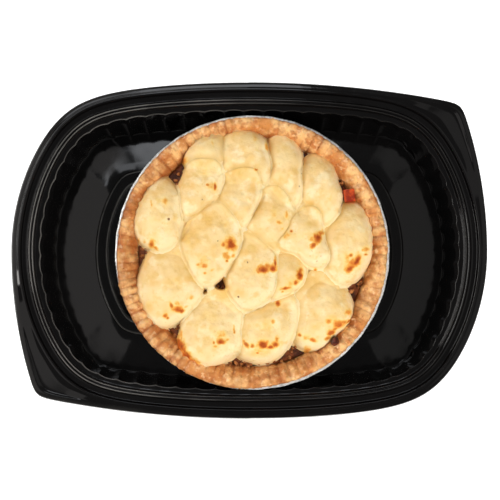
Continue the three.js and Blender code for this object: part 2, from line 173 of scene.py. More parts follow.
# Layers of unevenness: how far each swells, how far apart its swellings are, in millimetres, and its seed.
CRUST_LUMPS = [(0.50, 9, 11), (0.55, 4.2, 12), (0.24, 1.9, 13)]
CRUST_WRINKLES = [(0.22, 1.5, 15)]
BAKED_PATCHES = [(0.30, 14, 31), (0.16, 5, 32), (-0.30, 4.2, 12)]
FILLING_LUMPS = [(0.75, 6.5, 51), (0.35, 2.8, 52)]
POTATO_LUMPS = [(0.75, 12, 71), (0.50, 6, 72), (0.24, 3, 73)]
POTATO_GRAIN = [(0.09, 1.7, 74)]
TOASTED_PATCHES = [(0.30, 8, 81), (0.22, 3, 82)]
SCORCH_EDGES = [(0.24, 1.7, 91), (0.10, 0.8, 92)]
CRUMB_LUMPS = [(1.0, 1.9, 61), (0.4, 0.8, 62)]

# Each dollop of potato: its middle, its height, the way its tucked end points in degrees from +X, and
# how far its outline lies from its middle every 20 degrees from +X.
DOLLOPS = {
    1: (-25.4, 58.4, 11.2, 73, (
        11.7, 12.3, 13.1, 11.9, 10.6, 9.8, 8.8, 8.7, 9.0,
        10.2, 13.7, 16.8, 15.1, 14.6, 14.8, 15.3, 14.1, 12.3)),
    2: (-3.0, 56.2, 12.0, 98, (
        11.6, 12.4, 12.7, 12.2, 12.7, 13.7, 14.9, 15.9, 13.1,
        12.5, 13.6, 16.2, 18.2, 17.2, 20.5, 21.6, 17.0, 14.0)),
    3: (-52.9, 22.0, 11.6, 82, (
        12.8, 13.2, 15.5, 18.1, 21.1, 18.2, 14.7, 13.0, 12.5,
        13.6, 15.6, 17.4, 20.1, 21.1, 21.7, 20.4, 17.7, 14.8)),
    4: (-28.2, 36.0, 11.0, 78, (
        11.2, 13.0, 14.9, 16.6, 15.3, 15.3, 15.1, 13.2, 12.4,
        13.4, 15.3, 18.0, 22.3, 16.5, 12.0, 10.7, 10.6, 10.6)),
    5: (18.3, 47.2, 11.4, 98, (
        9.0, 10.5, 12.3, 14.5, 18.1, 20.7, 18.5, 13.6, 10.4,
        9.5, 10.8, 16.2, 18.3, 21.0, 26.3, 17.7, 11.4, 9.0)),
    6: (-5.8, 31.0, 11.4, 78, (
        10.2, 11.2, 13.0, 16.0, 15.3, 14.9, 15.0, 15.3, 15.2,
        15.6, 15.8, 14.5, 15.5, 19.3, 16.2, 11.7, 10.1, 9.6)),
    7: (-22.6, 4.0, 12.4, 77, (
        16.0, 17.4, 18.7, 20.3, 24.4, 20.1, 18.0, 17.3, 16.2,
        16.7, 16.4, 17.2, 19.9, 24.7, 21.9, 16.9, 14.6, 15.3)),
    8: (9.9, 19.7, 11.4, 74, (
        15.0, 13.3, 13.6, 15.5, 17.2, 15.8, 12.2, 11.3, 11.3,
        13.0, 17.6, 17.0, 16.8, 19.2, 19.7, 16.4, 14.9, 14.8)),
    9: (37.4, 36.0, 11.4, 100, (
        11.9, 11.1, 12.2, 15.3, 17.8, 19.8, 17.9, 16.5, 14.6,
        14.0, 14.6, 14.5, 15.0, 19.7, 21.6, 17.9, 15.6, 14.2)),
    10: (-47.3, -19.5, 11.6, 80, (
        21.5, 21.9, 20.5, 24.0, 26.7, 26.6, 22.2, 18.4, 17.9,
        17.8, 18.1, 19.5, 21.8, 24.1, 21.6, 19.2, 18.1, 19.1)),
    11: (-0.7, -12.8, 12.6, 79, (
        13.6, 15.5, 17.7, 17.7, 20.4, 24.5, 19.5, 15.4, 14.8,
        16.2, 15.7, 16.0, 17.6, 20.4, 17.7, 16.9, 15.6, 14.2)),
    12: (28.4, 9.1, 12.0, 78, (
        11.1, 11.0, 12.8, 16.6, 16.4, 14.3, 11.3, 9.2, 9.0,
        10.6, 15.6, 13.5, 11.2, 12.3, 18.0, 20.8, 18.9, 12.8)),
    13: (19.5, -10.5, 12.0, 66, (
        10.5, 11.4, 12.5, 13.0, 13.1, 13.6, 14.2, 11.9, 10.3,
        10.2, 11.5, 15.6, 18.8, 14.2, 12.3, 11.5, 11.0, 10.3)),
    14: (-23.2, -43.6, 11.6, 70, (
        16.2, 18.5, 20.9, 23.2, 24.5, 22.2, 20.0, 18.8, 18.2,
        16.8, 19.8, 23.1, 23.9, 22.2, 20.0, 19.5, 20.3, 17.8)),
    15: (53.1, 6.8, 11.8, 93, (
        14.5, 15.3, 17.1, 20.0, 22.0, 20.9, 16.6, 15.5, 16.0,
        16.5, 17.6, 19.9, 21.4, 25.3, 24.0, 19.6, 17.3, 15.1)),
    16: (7.7, -42.5, 12.0, 76, (
        16.0, 18.4, 21.8, 23.5, 19.2, 14.8, 13.5, 15.9, 17.3,
        17.2, 19.4, 23.6, 21.6, 20.2, 18.9, 17.6, 15.9, 15.2)),
    17: (39.1, -33.0, 12.0, 72, (
        17.2, 17.8, 18.1, 19.9, 22.7, 23.7, 19.8, 17.4, 17.5,
        18.0, 19.6, 24.0, 24.7, 22.8, 17.9, 15.1, 15.8, 16.6)),
}

# The dollops in the order in which they were laid, the lowest first.
LAID = (17, 15, 16, 14, 13, 10, 9, 5, 1, 2, 8, 12, 11, 6, 4, 3, 7)

# Where the grill caught the potato, for each dollop: middle, half length, half width, turn and strength.
SCORCHES = {
    1: [(-22.0, 60.1, 0.7, 2.0, 12, 0.30), (-38.5, 50.6, 2.0, 2.5, 30, 0.52)],
    2: [(1.3, 62.3, 1.5, 1.9, 0, 0.30), (8.0, 58.1, 0.9, 1.9, 0, 0.52)],
    3: [(-55.7, 4.0, 1.5, 1.9, -20, 0.72), (-53.4, 1.8, 1.5, 0.7, -42, 0.55),
        (-59.6, 5.2, 0.9, 0.8, 0, 0.34), (-63.0, 5.7, 1.1, 1.7, 0, 0.30), (-48.4, 27.6, 1.5, 1.6, 0, 0.52),
        (-55.7, 25.9, 0.6, 2.2, 8, 0.30), (-42.8, 18.6, 1.8, 2.5, 0, 0.26),
        (-54.0, 20.0, 5.0, 9.0, 0, 0.09)],
    4: [(-24.8, 36.6, 0.9, 0.7, 0, 0.56), (-20.6, 35.7, 0.7, 2.0, 0, 0.80),
        (-23.2, 36.0, 2.9, 1.9, 0, 0.32), (-26.5, 43.8, 2.8, 2.2, 0, 0.20)],
    5: [(16.7, 67.4, 1.7, 0.7, 0, 0.46), (20.0, 55.0, 6.0, 7.0, 0, 0.10)],
    6: [(2.3, 45.0, 1.0, 0.9, 0, 0.64)],
    7: [(-11.7, 3.2, 2.5, 2.9, 10, 0.98), (-15.9, 3.5, 1.3, 1.2, 0, 0.66),
        (-14.2, -2.7, 1.8, 1.7, 0, 0.56), (-10.5, -2.7, 1.0, 0.9, 0, 0.56), (-14.1, -5.5, 0.7, 0.6, 0, 0.78),
        (-26.0, -8.3, 1.5, 1.1, 0, 0.62), (-27.1, -7.2, 3.4, 3.6, 0, 0.30), (-29.9, -7.5, 1.2, 0.8, 0, 0.44),
        (-26.0, -12.2, 0.8, 0.6, 0, 0.64), (-22.0, -10.5, 1.8, 0.7, 30, 0.34),
        (-35.5, 5.2, 1.5, 2.8, 0, 0.22), (-14.7, 14.7, 1.9, 1.9, 0, 0.20)],
    8: [(19.1, 19.7, 0.8, 1.5, 0, 0.50), (15.0, 15.8, 1.5, 1.2, 0, 0.46),
        (16.7, 12.4, 0.9, 0.6, 0, 0.34), (12.2, 19.7, 2.2, 2.0, 0, 0.24)],
    9: [(43.0, 29.3, 1.7, 1.5, 0, 0.20), (44.7, 50.6, 1.5, 1.9, -30, 0.42),
        (40.0, 42.0, 6.0, 6.0, 0, 0.10)],
    10: [(-44.4, -30.2, 0.9, 1.6, 20, 0.76), (-41.1, -32.4, 2.6, 1.3, -10, 0.92),
        (-38.6, -33.0, 1.3, 1.0, 15, 0.84), (-41.4, -28.8, 1.5, 1.3, 0, 0.40),
        (-48.2, -35.8, 1.0, 1.0, -40, 0.82), (-46.8, -36.9, 0.7, 0.6, 0, 0.72),
        (-33.6, -25.7, 1.3, 1.0, 10, 0.46), (-36.6, -30.7, 1.7, 0.6, 20, 0.34)],
    11: [(6.0, -10.5, 2.9, 1.8, 4, 0.94), (11.3, -9.8, 2.0, 1.7, 0, 0.92),
        (12.7, -6.9, 0.7, 2.5, 0, 0.86), (8.2, -8.6, 2.2, 1.5, 0, 0.60)],
    12: [(36.3, 7.1, 3.5, 1.7, 62, 0.98), (33.8, 3.2, 2.0, 1.1, 48, 0.90),
        (32.9, 6.3, 1.7, 1.9, 0, 0.46), (18.9, 8.5, 2.0, 1.7, 40, 0.38), (21.5, 11.0, 0.7, 0.6, 0, 0.80),
        (34.8, -10.3, 0.8, 0.7, 0, 0.74), (41.0, -10.9, 1.1, 0.7, -40, 0.72),
        (30.4, -13.1, 0.7, 1.2, -20, 0.60), (27.0, 11.0, 7.0, 7.0, 0, 0.12)],
    13: [(26.2, -13.1, 1.6, 2.7, -4, 0.98), (24.3, -17.3, 1.7, 1.0, 25, 0.78),
        (18.3, -20.6, 2.7, 0.7, 8, 0.82), (21.7, -17.8, 3.1, 1.5, 30, 0.36),
        (16.7, -22.4, 0.8, 0.6, 0, 0.60)],
    14: [(-17.5, -49.9, 2.1, 1.3, 0, 0.92), (-14.2, -49.0, 1.7, 0.6, 20, 0.44),
        (-21.1, -50.6, 0.7, 0.7, 0, 0.66), (-20.4, -52.6, 1.3, 0.7, 0, 0.46),
        (-17.5, -46.4, 2.8, 1.8, 0, 0.38), (-10.1, -43.1, 0.6, 1.5, 0, 0.44),
        (-9.9, -44.7, 0.6, 0.7, 0, 0.50), (-24.3, -36.3, 1.7, 1.7, 0, 0.16),
        (-41.3, -54.3, 1.2, 5.0, 0, 0.66), (-38.9, -60.4, 3.1, 1.9, -52, 0.86),
        (-34.4, -64.4, 2.8, 1.3, -24, 0.80), (-39.4, -48.1, 0.9, 3.4, 0, 0.40),
        (-39.8, -52.3, 4.8, 1.7, -72, 0.90), (-36.8, -57.6, 3.4, 1.7, -49, 0.95),
        (-32.8, -61.0, 3.2, 1.4, -33, 0.75), (-24.0, -40.0, 8.0, 9.0, 0, 0.11)],
    15: [(57.6, -5.7, 1.6, 2.5, -20, 0.98), (54.0, -9.4, 2.5, 1.5, 40, 0.94),
        (55.3, -6.6, 2.0, 2.6, -30, 0.62), (54.4, -2.4, 1.0, 0.9, 0, 0.80), (62.6, 0.9, 2.4, 1.0, 12, 0.52),
        (62.7, -1.9, 1.2, 0.5, 4, 0.66), (52.3, -4.9, 1.7, 2.8, 0, 0.36), (58.4, -0.8, 0.7, 0.9, 0, 0.30)],
    16: [(-3.2, -51.5, 1.0, 1.7, 35, 0.84), (0.1, -52.4, 1.0, 1.0, 0, 0.66),
        (6.0, -51.8, 2.7, 1.7, 0, 0.96), (9.9, -52.9, 2.0, 1.0, 0, 0.90), (12.7, -51.5, 1.8, 1.3, 28, 0.92),
        (13.5, -49.2, 1.1, 1.6, 0, 0.62), (3.2, -54.8, 3.4, 0.6, -12, 0.34),
        (2.7, -56.1, 1.0, 0.5, -12, 0.72), (14.2, -28.8, 1.2, 1.7, 10, 0.80),
        (12.5, -27.1, 1.7, 1.3, 0, 0.44), (11.3, -38.9, 1.2, 1.3, 0, 0.38), (7.7, -41.4, 3.9, 4.5, 0, 0.18),
        (7.0, -40.0, 9.0, 8.0, 0, 0.13)],
    17: [(41.9, -38.8, 1.7, 1.5, 0, 0.54), (47.5, -40.8, 2.9, 1.9, 14, 0.76),
        (50.6, -39.5, 2.2, 1.1, 20, 0.60), (45.8, -42.8, 2.4, 0.9, 32, 0.64),
        (43.5, -45.1, 1.8, 1.2, 6, 0.94), (41.9, -48.0, 1.9, 0.7, 22, 0.64),
        (26.2, -46.5, 1.0, 0.8, 0, 0.74), (33.4, -49.1, 1.5, 0.8, -24, 0.84),
        (29.9, -47.9, 2.2, 1.5, 0, 0.34), (53.1, -33.8, 1.9, 1.5, 0, 0.52),
        (53.1, -38.9, 1.7, 0.5, 38, 0.84), (34.4, -41.9, 1.0, 0.9, 0, 0.22),
        (30.4, -54.8, 1.5, 1.5, 0, 0.66), (51.5, -25.0, 2.6, 8.0, 12, 0.20),
        (44.0, -30.0, 8.0, 9.0, 0, 0.07)],
}

# Small holes in the potato, for each dollop: middle and radius.
PITS = {
    1: [(-21.1, 50.6, 0.5)],
    2: [(2.6, 45.0, 0.6)],
    3: [(-46.1, 17.8, 0.9)],
    4: [(-27.6, 28.7, 0.4), (-25.4, 23.9, 0.6), (-27.1, 22.5, 0.5)],
    5: [(27.3, 43.3, 0.3), (26.0, 36.0, 0.4)],
    7: [(-19.0, 5.7, 0.4)],
    8: [(17.8, 3.5, 0.2)],
    11: [(-7.7, -25.1, 0.7), (-2.6, -6.1, 0.5)],
    12: [(35.7, -5.5, 0.3), (31.8, -2.7, 0.3), (32.9, 0.1, 0.3), (38.0, -2.7, 0.3), (30.1, -8.9, 0.3)],
    13: [(29.2, -7.2, 0.5)],
}

# Where the filling shows between the dollops: middle and radius of each gap, and how soft its edge is.
GAPS = [(-17.4, -17.6, 3.3), (-26.1, -21.8, 1.2)]
GAP_EDGE = 0.8

# How a dollop runs into its neighbours: how high its foot stands over the potato's base, how far out it
# goes as a share of the dollop's reach, how far from the pie's middle it fades, how softly a dollop
# melts into what it lies on, and how steeply it falls past its own outline.
FOOT_HEIGHT = 6.0
FOOT_SHARE = 1.2
FOOT_REACH = 58
FOOT_FADE = 7
MELT = 1.5
FALL = 2.6

# A dollop's mesh: points round it, rows on its top and its foot, and which of them its under side keeps.
# Then how far it stays under the crust's own height, and how deep gaps and small holes go.
DOLLOP_SAMPLES = 210
TOP_ROWS = 66
FOOT_ROWS = 11
DOLLOP_UNDER_EVERY = 6
CRUST_GAP = 0.8
GAP_DROP = 9
PIT_DEPTH = 0.5

# A dollop's outline: how finely it is measured, the waves that make it uneven, how many rounds even it
# out, and how many even out the level that it lies on. Then the seed of its draws, and how far apart in
# the noise the dollops are, so that no two are alike.
OUTLINE_STEPS = 361
OUTLINE_WAVES = (11, 17, 23, 31)
OUTLINE_ROUNDS = 60
LEVEL_ROUNDS = 40
DOLLOP_SEED = 100
DOLLOP_SPACING = 9.0

# The darkening of a scorch: how much of its strength each part has, and where it starts and is full.
SCORCH_PARTS = [(0.38, 1.1, 0.2), (0.36, 1.8, 0.6), (0.16, 3.4, 1.0)]

# The loose pieces, in metres: how near points are welded, and how finely their edges are softened.
WELD_DISTANCE = 0.00002
VOXEL = 0.00030

# The lamps: the setting that gives the power, place, width and height, colour, and whether gloss mirrors it.
LAMPS = {
    "ceiling": ("ceiling", (0, 0, 2.4), (2.6, 2.6), (1, 1, 1), False),
    "key_light": ("key", (0.62, -0.66, 0.85), (0.7, 0.7), (1, 0.985, 0.96), False),
    "fill_light": ("fill", (-0.85, 0.45, 0.85), (0.9, 0.9), (0.97, 0.98, 1), False),
    "low_light": ("low", (-1.12, 0.25, 0.60), (0.9, 0.40), (1, 0.98, 0.95), True),
    "softbox": ("softbox", (-0.06, 0.76, 1.55), (0.36, 0.42), (0.92, 0.95, 1), True),
    "streak_box": ("streak", (-0.41, 0.64, 1.50), (0.32, 0.28), (0.92, 0.95, 1), True),
    "side_panel": ("side_panel", (-0.69, 0.02, 1.44), (0.95, 0.75), (1, 0.95, 0.92), True),
    "right_panel": ("right_panel", (0.69, 0.02, 1.44), (0.95, 0.75), (1, 0.97, 0.94), True),
}

# What the lamps and the camera look at, the camera's lens, and the floor.
LAMP_TARGET = (0, 0, 0.03)
CAMERA_TARGET = (0.00034, -0.00028, 0.038)
LENS = 129.6
FLOOR_REACH = 4.0
FLOOR_HEIGHT = -0.0002


# ---- Uneven surfaces ----

AXIS_PRIMES = (73856093, 19349663, 83492791)
SEED_PRIME = 2654435761
SCRAMBLES = ((13, 1274126177), (16, 2246822519))
WHOLE = 0xFFFFFFFF


def cell_value(cell, seed):
    """A fixed random value between -1 and 1 for each whole-numbered cell."""
    mixed = seed * SEED_PRIME
    for axis, prime in enumerate(AXIS_PRIMES):
        mixed = mixed ^ (cell[..., axis] * prime)
    for shift, prime in SCRAMBLES:
        mixed = (mixed ^ (mixed >> shift)) * prime & WHOLE
    return (mixed ^ (mixed >> 15)) / 2 ** 31 - 1


def uneven(points, size, seed):
    """Smooth noise between -1 and 1, with swellings about `size` apart."""
    spot = np.asarray(points, float) / size
    cell = np.floor(spot).astype(np.int64)
    part = spot - cell
    part = part ** 3 * (part * (part * 6 - 15) + 10)
    total = np.zeros(spot.shape[:-1])
    for corner in np.ndindex(2, 2, 2):
        share = np.prod(np.where(corner, part, 1 - part), axis=-1)
        total += share * cell_value(cell + np.array(corner), seed)
    return total


def layered(points, layers):
    """Layers of unevenness together, each given as (swell, size, seed)."""
    return sum(swell * uneven(points, size, seed) for swell, size, seed in layers)


def step_up(low, high, value):
    """0 below low, 1 above high and smooth between them."""
    share = np.clip((value - low) / (high - low), 0, 1)
    return share * share * (3 - 2 * share)


def unit(angle):
    """The way that points at an angle in degrees from +X."""
    return np.array([cos(radians(angle)), sin(radians(angle))])


def smoothed(values, rounds):
    """Evens out a closed line of values."""
    for _ in range(rounds):
        values = (np.roll(values, 1) + 2 * values + np.roll(values, -1)) / 4
    return values


# ---- Meshes ----

def placed(name, data):
    """A new object in the scene."""
    piece = bpy.data.objects.new(name, data)
    bpy.context.scene.collection.objects.link(piece)
    return piece


def mesh_piece(name, points, quads, triangles, values):
    """A smooth closed mesh from points in millimetres, with a value at each point for each attribute."""
    mesh = bpy.data.meshes.new(name)
    points = np.asarray(points, np.float32) * MM
    corners = np.concatenate([np.ravel(quads), np.ravel(triangles)]).astype(np.int32)
    starts = np.concatenate([np.arange(len(quads)) * 4, len(quads) * 4 + np.arange(len(triangles)) * 3])
    mesh.vertices.add(len(points))
    mesh.vertices.foreach_set("co", points.ravel())
    mesh.loops.add(len(corners))
    mesh.loops.foreach_set("vertex_index", corners)
    mesh.polygons.add(len(starts))
    mesh.polygons.foreach_set("loop_start", starts.astype(np.int32))
    mesh.update(calc_edges=True)
    for label, value in values.items():
        layer = mesh.attributes.new(label, "FLOAT", "POINT")
        layer.data.foreach_set("value", np.asarray(value, np.float32))
    mesh.shade_smooth()
    return placed(name, mesh)


def lathe_faces(rings, count):
    """Quads between neighbouring rings, and the fans that close the first and the last on their poles."""
    ring, place = np.meshgrid(np.arange(rings - 1), np.arange(count), indexing="ij")
    here, after = ring * count + place, ring * count + (place + 1) % count
    quads = np.stack([here, after, after + count, here + count], axis=-1).reshape(-1, 4)
    around = np.arange(count)
    following = (around + 1) % count
    first = np.full(count, rings * count)
    base = (rings - 1) * count
    start = np.stack([first, following, around], axis=-1)
    end = np.stack([first + 1, base + around, base + following], axis=-1)
    return quads, np.concatenate([start, end])


def facing_out(points, quads, triangles):
    """The same faces, turned round if the body they close is inside out."""
    sides = np.concatenate([triangles, quads[:, :3], quads[:, [0, 2, 3]]])
    a, b, c = (points[sides[:, i]] for i in range(3))
    if np.sum(a * np.cross(b, c)) < 0:
        return quads[:, ::-1], triangles[:, ::-1]
    return quads, triangles


def ring_piece(name, rings, poles, values=None):
    """A closed body from rings of points that run from one pole to the other."""
    points = np.concatenate([rings.reshape(-1, 3), np.asarray(poles, float)])
    quads, triangles = facing_out(points, *lathe_faces(*rings.shape[:2]))
    layers = {label: np.concatenate([value.ravel(), [value[0].mean(), value[-1].mean()]])
              for label, value in (values or {}).items()}
    return mesh_piece(name, points, quads, triangles, layers)


def on_circles(radius, angle, height):
    """Points at radii and angles round the pie's middle."""
    return np.stack(np.broadcast_arrays(radius * np.cos(angle), radius * np.sin(angle), height), axis=-1)


def ring_normals(rings):
    """The way square to a surface of rings, at each of its points."""
    along = np.gradient(rings, axis=0)
    around = (np.roll(rings, -1, axis=1) - np.roll(rings, 1, axis=1)) / 2
    normal = np.cross(around, along)
    return normal / np.maximum(np.linalg.norm(normal, axis=-1, keepdims=True), 1e-9)


def soften(profile, reach, steps):
    """Rounds a profile's corners: each becomes a short curve that starts `reach` before it."""
    profile = np.asarray(profile, float)
    rows = [profile[0]]
    for before, corner, after in zip(profile, profile[1:], profile[2:]):
        start, end = (corner + way * min(0.45, reach / np.hypot(way[0], way[2]))
                      for way in (before - corner, after - corner))
        for share in np.linspace(0, 1, steps):
            rows.append((1 - share) ** 2 * start + 2 * share * (1 - share) * corner + share ** 2 * end)
    rows.append(profile[-1])
    return np.array(rows)


def subdivide(rows, longest):
    """Adds rows to a profile so that none is further than `longest` from the next."""
    out = [rows[0]]
    for before, after in zip(rows, rows[1:]):
        pieces = max(1, int(np.ceil(np.hypot(after[0] - before[0], after[2] - before[2]) / longest)))
        out.extend(before + (after - before) * i / pieces for i in range(1, pieces + 1))
    return np.array(out)


def made_plain(piece):
    """Keeps what its modifiers make of a piece as the piece's own plain mesh."""
    mesh = bpy.data.meshes.new_from_object(piece.evaluated_get(bpy.context.evaluated_depsgraph_get()))
    piece.modifiers.clear()
    piece.data = mesh
    mesh.name = piece.name
    return mesh


def shaped_by(piece, tree, inputs):
    """Runs a node tree on a piece and keeps the result."""
    modifier = piece.modifiers.new(tree.name, "NODES")
    modifier.node_group = tree
    sockets = {item.name: item.identifier for item in tree.interface.items_tree if item.in_out == "INPUT"}
    for label, value in inputs.items():
        modifier[sockets[label]] = value
    made_plain(piece).shade_smooth()
    return piece


# ---- Node trees ----

NUMBER = "NodeSocketFloat"
WHOLE_NUMBER = "NodeSocketInt"
BODY = "NodeSocketGeometry"


def add(tree, kind, inputs=None, **settings):
    """Adds a node. An input takes a value, or the socket that feeds it."""
    node = tree.nodes.new(kind)
    for label, value in settings.items():
        setattr(node, label, value)
    for socket, value in (inputs or {}).items():
        if isinstance(value, bpy.types.NodeSocket):
            tree.links.new(value, node.inputs[socket])
        else:
            node.inputs[socket].default_value = value
    return node


def calculate(tree, operation, first, second=0.0, third=0.0):
    inputs = {0: first, 1: second, 2: third}
    return add(tree, "ShaderNodeMath", inputs, operation=operation).outputs[0]


def multiply(tree, first, *others):
    for other in others:
        first = calculate(tree, "MULTIPLY", first, other)
    return first


def vector_math(tree, operation, inputs):
    return add(tree, "ShaderNodeVectorMath", inputs, operation=operation).outputs


def rescale(tree, value, inputs, **settings):
    return add(tree, "ShaderNodeMapRange", {"Value": value, **inputs}, **settings).outputs["Result"]


def raw_noise(tree, scale, detail, inputs):
    return add(tree, "ShaderNodeTexNoise", {**inputs, "Scale": scale, "Detail": detail}).outputs[0]


def new_group(name, kind, inputs, outputs):
    """An empty node group with named sockets, given as (name, type, default) and (name, type)."""
    tree = bpy.data.node_groups.new(name, kind)
    for label, socket, default in inputs:
        made = tree.interface.new_socket(label, in_out="INPUT", socket_type=socket)
        if default is not None:
            made.default_value = default
    for label, socket in outputs:
        tree.interface.new_socket(label, in_out="OUTPUT", socket_type=socket)
    return tree, tree.nodes.new("NodeGroupInput").outputs, tree.nodes.new("NodeGroupOutput").inputs


def patches_group():
    """Patches of a surface: noise of a given scale, cut between two levels into a mask."""
    if "Patches" in bpy.data.node_groups:
        return bpy.data.node_groups["Patches"]
    tree, given, result = new_group(
        "Patches", "ShaderNodeTree",
        [("Scale", NUMBER, 100.0), ("Detail", NUMBER, 3.0), ("Low", NUMBER, 0.4), ("High", NUMBER, 0.6)],
        [("Mask", NUMBER), ("Noise", NUMBER)])
    place = add(tree, "ShaderNodeTexCoord").outputs["Object"]
    cloud = raw_noise(tree, given["Scale"], given["Detail"], {"Vector": place})
    mask = rescale(
        tree, cloud, {"From Min": given["Low"], "From Max": given["High"]}, interpolation_type="SMOOTHSTEP")
    tree.links.new(mask, result["Mask"])
    tree.links.new(cloud, result["Noise"])
    return tree


def patches(tree, scale, detail, low=0.4, high=0.6):
    node = add(tree, "ShaderNodeGroup", node_tree=patches_group())
    for label, value in (("Scale", scale), ("Detail", detail), ("Low", low), ("High", high)):
        node.inputs[label].default_value = value
    return node.outputs


def noise(tree, scale, detail):
    return patches(tree, scale, detail)["Noise"]


def attribute(tree, label):
    return add(tree, "ShaderNodeAttribute", attribute_name=label).outputs["Fac"]


def mix_colour(tree, share, first, second):
    node = add(tree, "ShaderNodeMix", data_type="RGBA", blend_type="MIX", clamp_factor=True)
    for socket, value in ((node.inputs[0], share), (node.inputs[6], first), (node.inputs[7], second)):
        if isinstance(value, bpy.types.NodeSocket):
            tree.links.new(value, socket)
        else:
            socket.default_value = (*value[:3], 1.0)
    return node.outputs[2]


def patched(tree, colour, other, strength, *pattern):
    """A colour with patches of another one over it. The pattern is what `patches` takes."""
    mask = patches(tree, *pattern)["Mask"]
    return mix_colour(tree, multiply(tree, mask, strength), colour, other)


def colour_ramp(tree, value, stops):
    node = add(tree, "ShaderNodeValToRGB", {"Fac": value})
    ramp = node.color_ramp
    while len(ramp.elements) < len(stops):
        ramp.elements.new(1.0)
    for element, (position, colour) in zip(ramp.elements, stops):
        element.position = position
        element.color = (*colour, 1.0)
    return node.outputs["Color"]


def bumpy(tree, shader, *layers):
    """Gives a shader layers of relief, each a height, how far it rises and how strongly it shows."""
    inputs = {}
    for height, distance, strength in layers:
        bump = add(tree, "ShaderNodeBump", {
            "Height": height, "Distance": distance, "Strength": strength, **inputs})
        inputs = {"Normal": bump.outputs["Normal"]}
    tree.links.new(inputs["Normal"], shader.inputs["Normal"])


def new_material(name, **sockets):
    """A material with its Principled shader, whose sockets take plain values."""
    material = bpy.data.materials.new(name)
    material.use_nodes = True
    shader = material.node_tree.nodes["Principled BSDF"]
    for label, value in sockets.items():
        shader.inputs[label.replace("_", " ")].default_value = value
    return material, material.node_tree, shader


def srgb(red, green, blue):
    """A colour given in 0 to 255 as a linear one."""
    shares = np.array([red, green, blue]) / 255
    return tuple(np.where(shares <= 0.04045, shares / 12.92, ((shares + 0.055) / 1.055) ** 2.4))


# ---- Finishes ----

SCORCH_TONES = [
    (0.0, srgb(248, 222, 152)), (0.18, srgb(244, 204, 116)), (0.36, srgb(234, 170, 78)),
    (0.58, srgb(212, 122, 42)), (0.80, srgb(180, 84, 26)), (1.0, srgb(132, 52, 16)),
]


def potato_material(settings):
    material, tree, shader = new_material(
        "baked_potato", Roughness=0.52, Subsurface_Weight=0.16, Subsurface_Scale=0.003,
        Subsurface_Radius=(1.0, 0.62, 0.28), Specular_IOR_Level=0.35)
    cloudy = patches(tree, 90, 3, 0.35, 0.68)["Mask"]
    # The toast mask is partly real toasting in patches and partly painted shade, darker towards each dollop's
    # upper left, with painted light on its lower-right rim.
    skin = multiply(tree, attribute(tree, "toast"), calculate(tree, "MULTIPLY_ADD", cloudy, 0.45, 0.60))
    colour = mix_colour(tree, skin, settings.cream, settings.toasted)
    colour = patched(tree, colour, srgb(226, 184, 96), 0.45, 200, 4, 0.50, 0.70)
    colour = patched(tree, colour, srgb(253, 237, 197), 0.50, 120, 3, 0.52, 0.70)
    # Painted shade in the creases between dollops.
    colour = mix_colour(tree, attribute(tree, "crease"), colour, settings.crease)
    colour = patched(tree, colour, srgb(212, 158, 80), 0.30, 800, 2, 0.66, 0.76)
    fine = noise(tree, 520, 4)
    scorch = attribute(tree, "scorch")
    near = calculate(tree, "MINIMUM", multiply(tree, scorch, 3.0), 1.0)
    ragged = multiply(tree, calculate(tree, "MULTIPLY_ADD", fine, 0.55, -0.27), near)
    burnt = calculate(tree, "ADD", scorch, ragged)
    cover = rescale(tree, burnt, {"From Min": 0.02, "From Max": 0.34}, interpolation_type="SMOOTHSTEP")
    colour = mix_colour(tree, cover, colour, colour_ramp(tree, burnt, SCORCH_TONES))
    colour = mix_colour(tree, attribute(tree, "pit"), colour, srgb(122, 66, 20))
    tree.links.new(colour, shader.inputs["Base Color"])
    crusty = calculate(tree, "ADD", noise(tree, 900, 3), multiply(tree, fine, scorch, 2.2))
    bumpy(tree, shader, (crusty, 0.0004, 0.35), (noise(tree, 260, 3), 0.0009, 0.5))
    return material


def crust_material(settings):
    material, tree, shader = new_material(
        "baked_crust", Roughness=0.46, Specular_IOR_Level=0.4, Subsurface_Weight=0.08, Subsurface_Scale=0.002)
    clouds = patches(tree, 110, 4, 0.38, 0.62)["Mask"]
    colour = mix_colour(tree, clouds, settings.golden, settings.pale)
    colour = patched(tree, colour, srgb(188, 108, 52), 0.75, 190, 5, 0.46, 0.64)
    colour = patched(tree, colour, settings.deep, 0.45, 330, 5, 0.50, 0.72)
    # Painted highlights: small pale flecks over the crust.
    colour = patched(tree, colour, srgb(246, 208, 160), 0.60, 420, 4, 0.54, 0.70)
    # The bake mask is partly real baking and partly painted shade in the crust's hollows.
    colour = mix_colour(tree, attribute(tree, "bake"), colour, settings.deep)
    tree.links.new(colour, shader.inputs["Base Color"])
    bumpy(tree, shader, (noise(tree, 620, 6), 0.0006, 0.9), (noise(tree, 340, 3), 0.0010, 0.8))
    return material


def two_toned(name, dark, light, pattern, relief, **sockets):
    """A finish with patches of two colours and one layer of relief: its scale, detail, rise and strength."""
    material, tree, shader = new_material(name, **sockets)
    colour = mix_colour(tree, patches(tree, *pattern)["Mask"], dark, light)
    tree.links.new(colour, shader.inputs["Base Color"])
    scale, detail, rise, strength = relief
    bumpy(tree, shader, (noise(tree, scale, detail), rise, strength))
    return material


def gravy_material():
    return two_toned(
        "gravy", srgb(62, 26, 9), srgb(118, 58, 22), (260, 3, 0.38, 0.64), (420, 4, 0.0012, 0.8),
        Roughness=0.5, Coat_Weight=0.05, Coat_Roughness=0.3)


def mince_material(name, dark, light):
    return two_toned(
        name, dark, light, (420, 4, 0.38, 0.62), (900, 4, 0.0009, 0.9),
        Roughness=0.42, Coat_Weight=0.2, Coat_Roughness=0.3)


def carrot_material():
    return two_toned(
        "cooked_carrot", srgb(142, 36, 8), srgb(206, 82, 26), (260, 4, 0.42, 0.60), (700, 3, 0.0005, 0.6),
        Roughness=0.32, Subsurface_Weight=0.2, Subsurface_Scale=0.002, Coat_Weight=0.2)


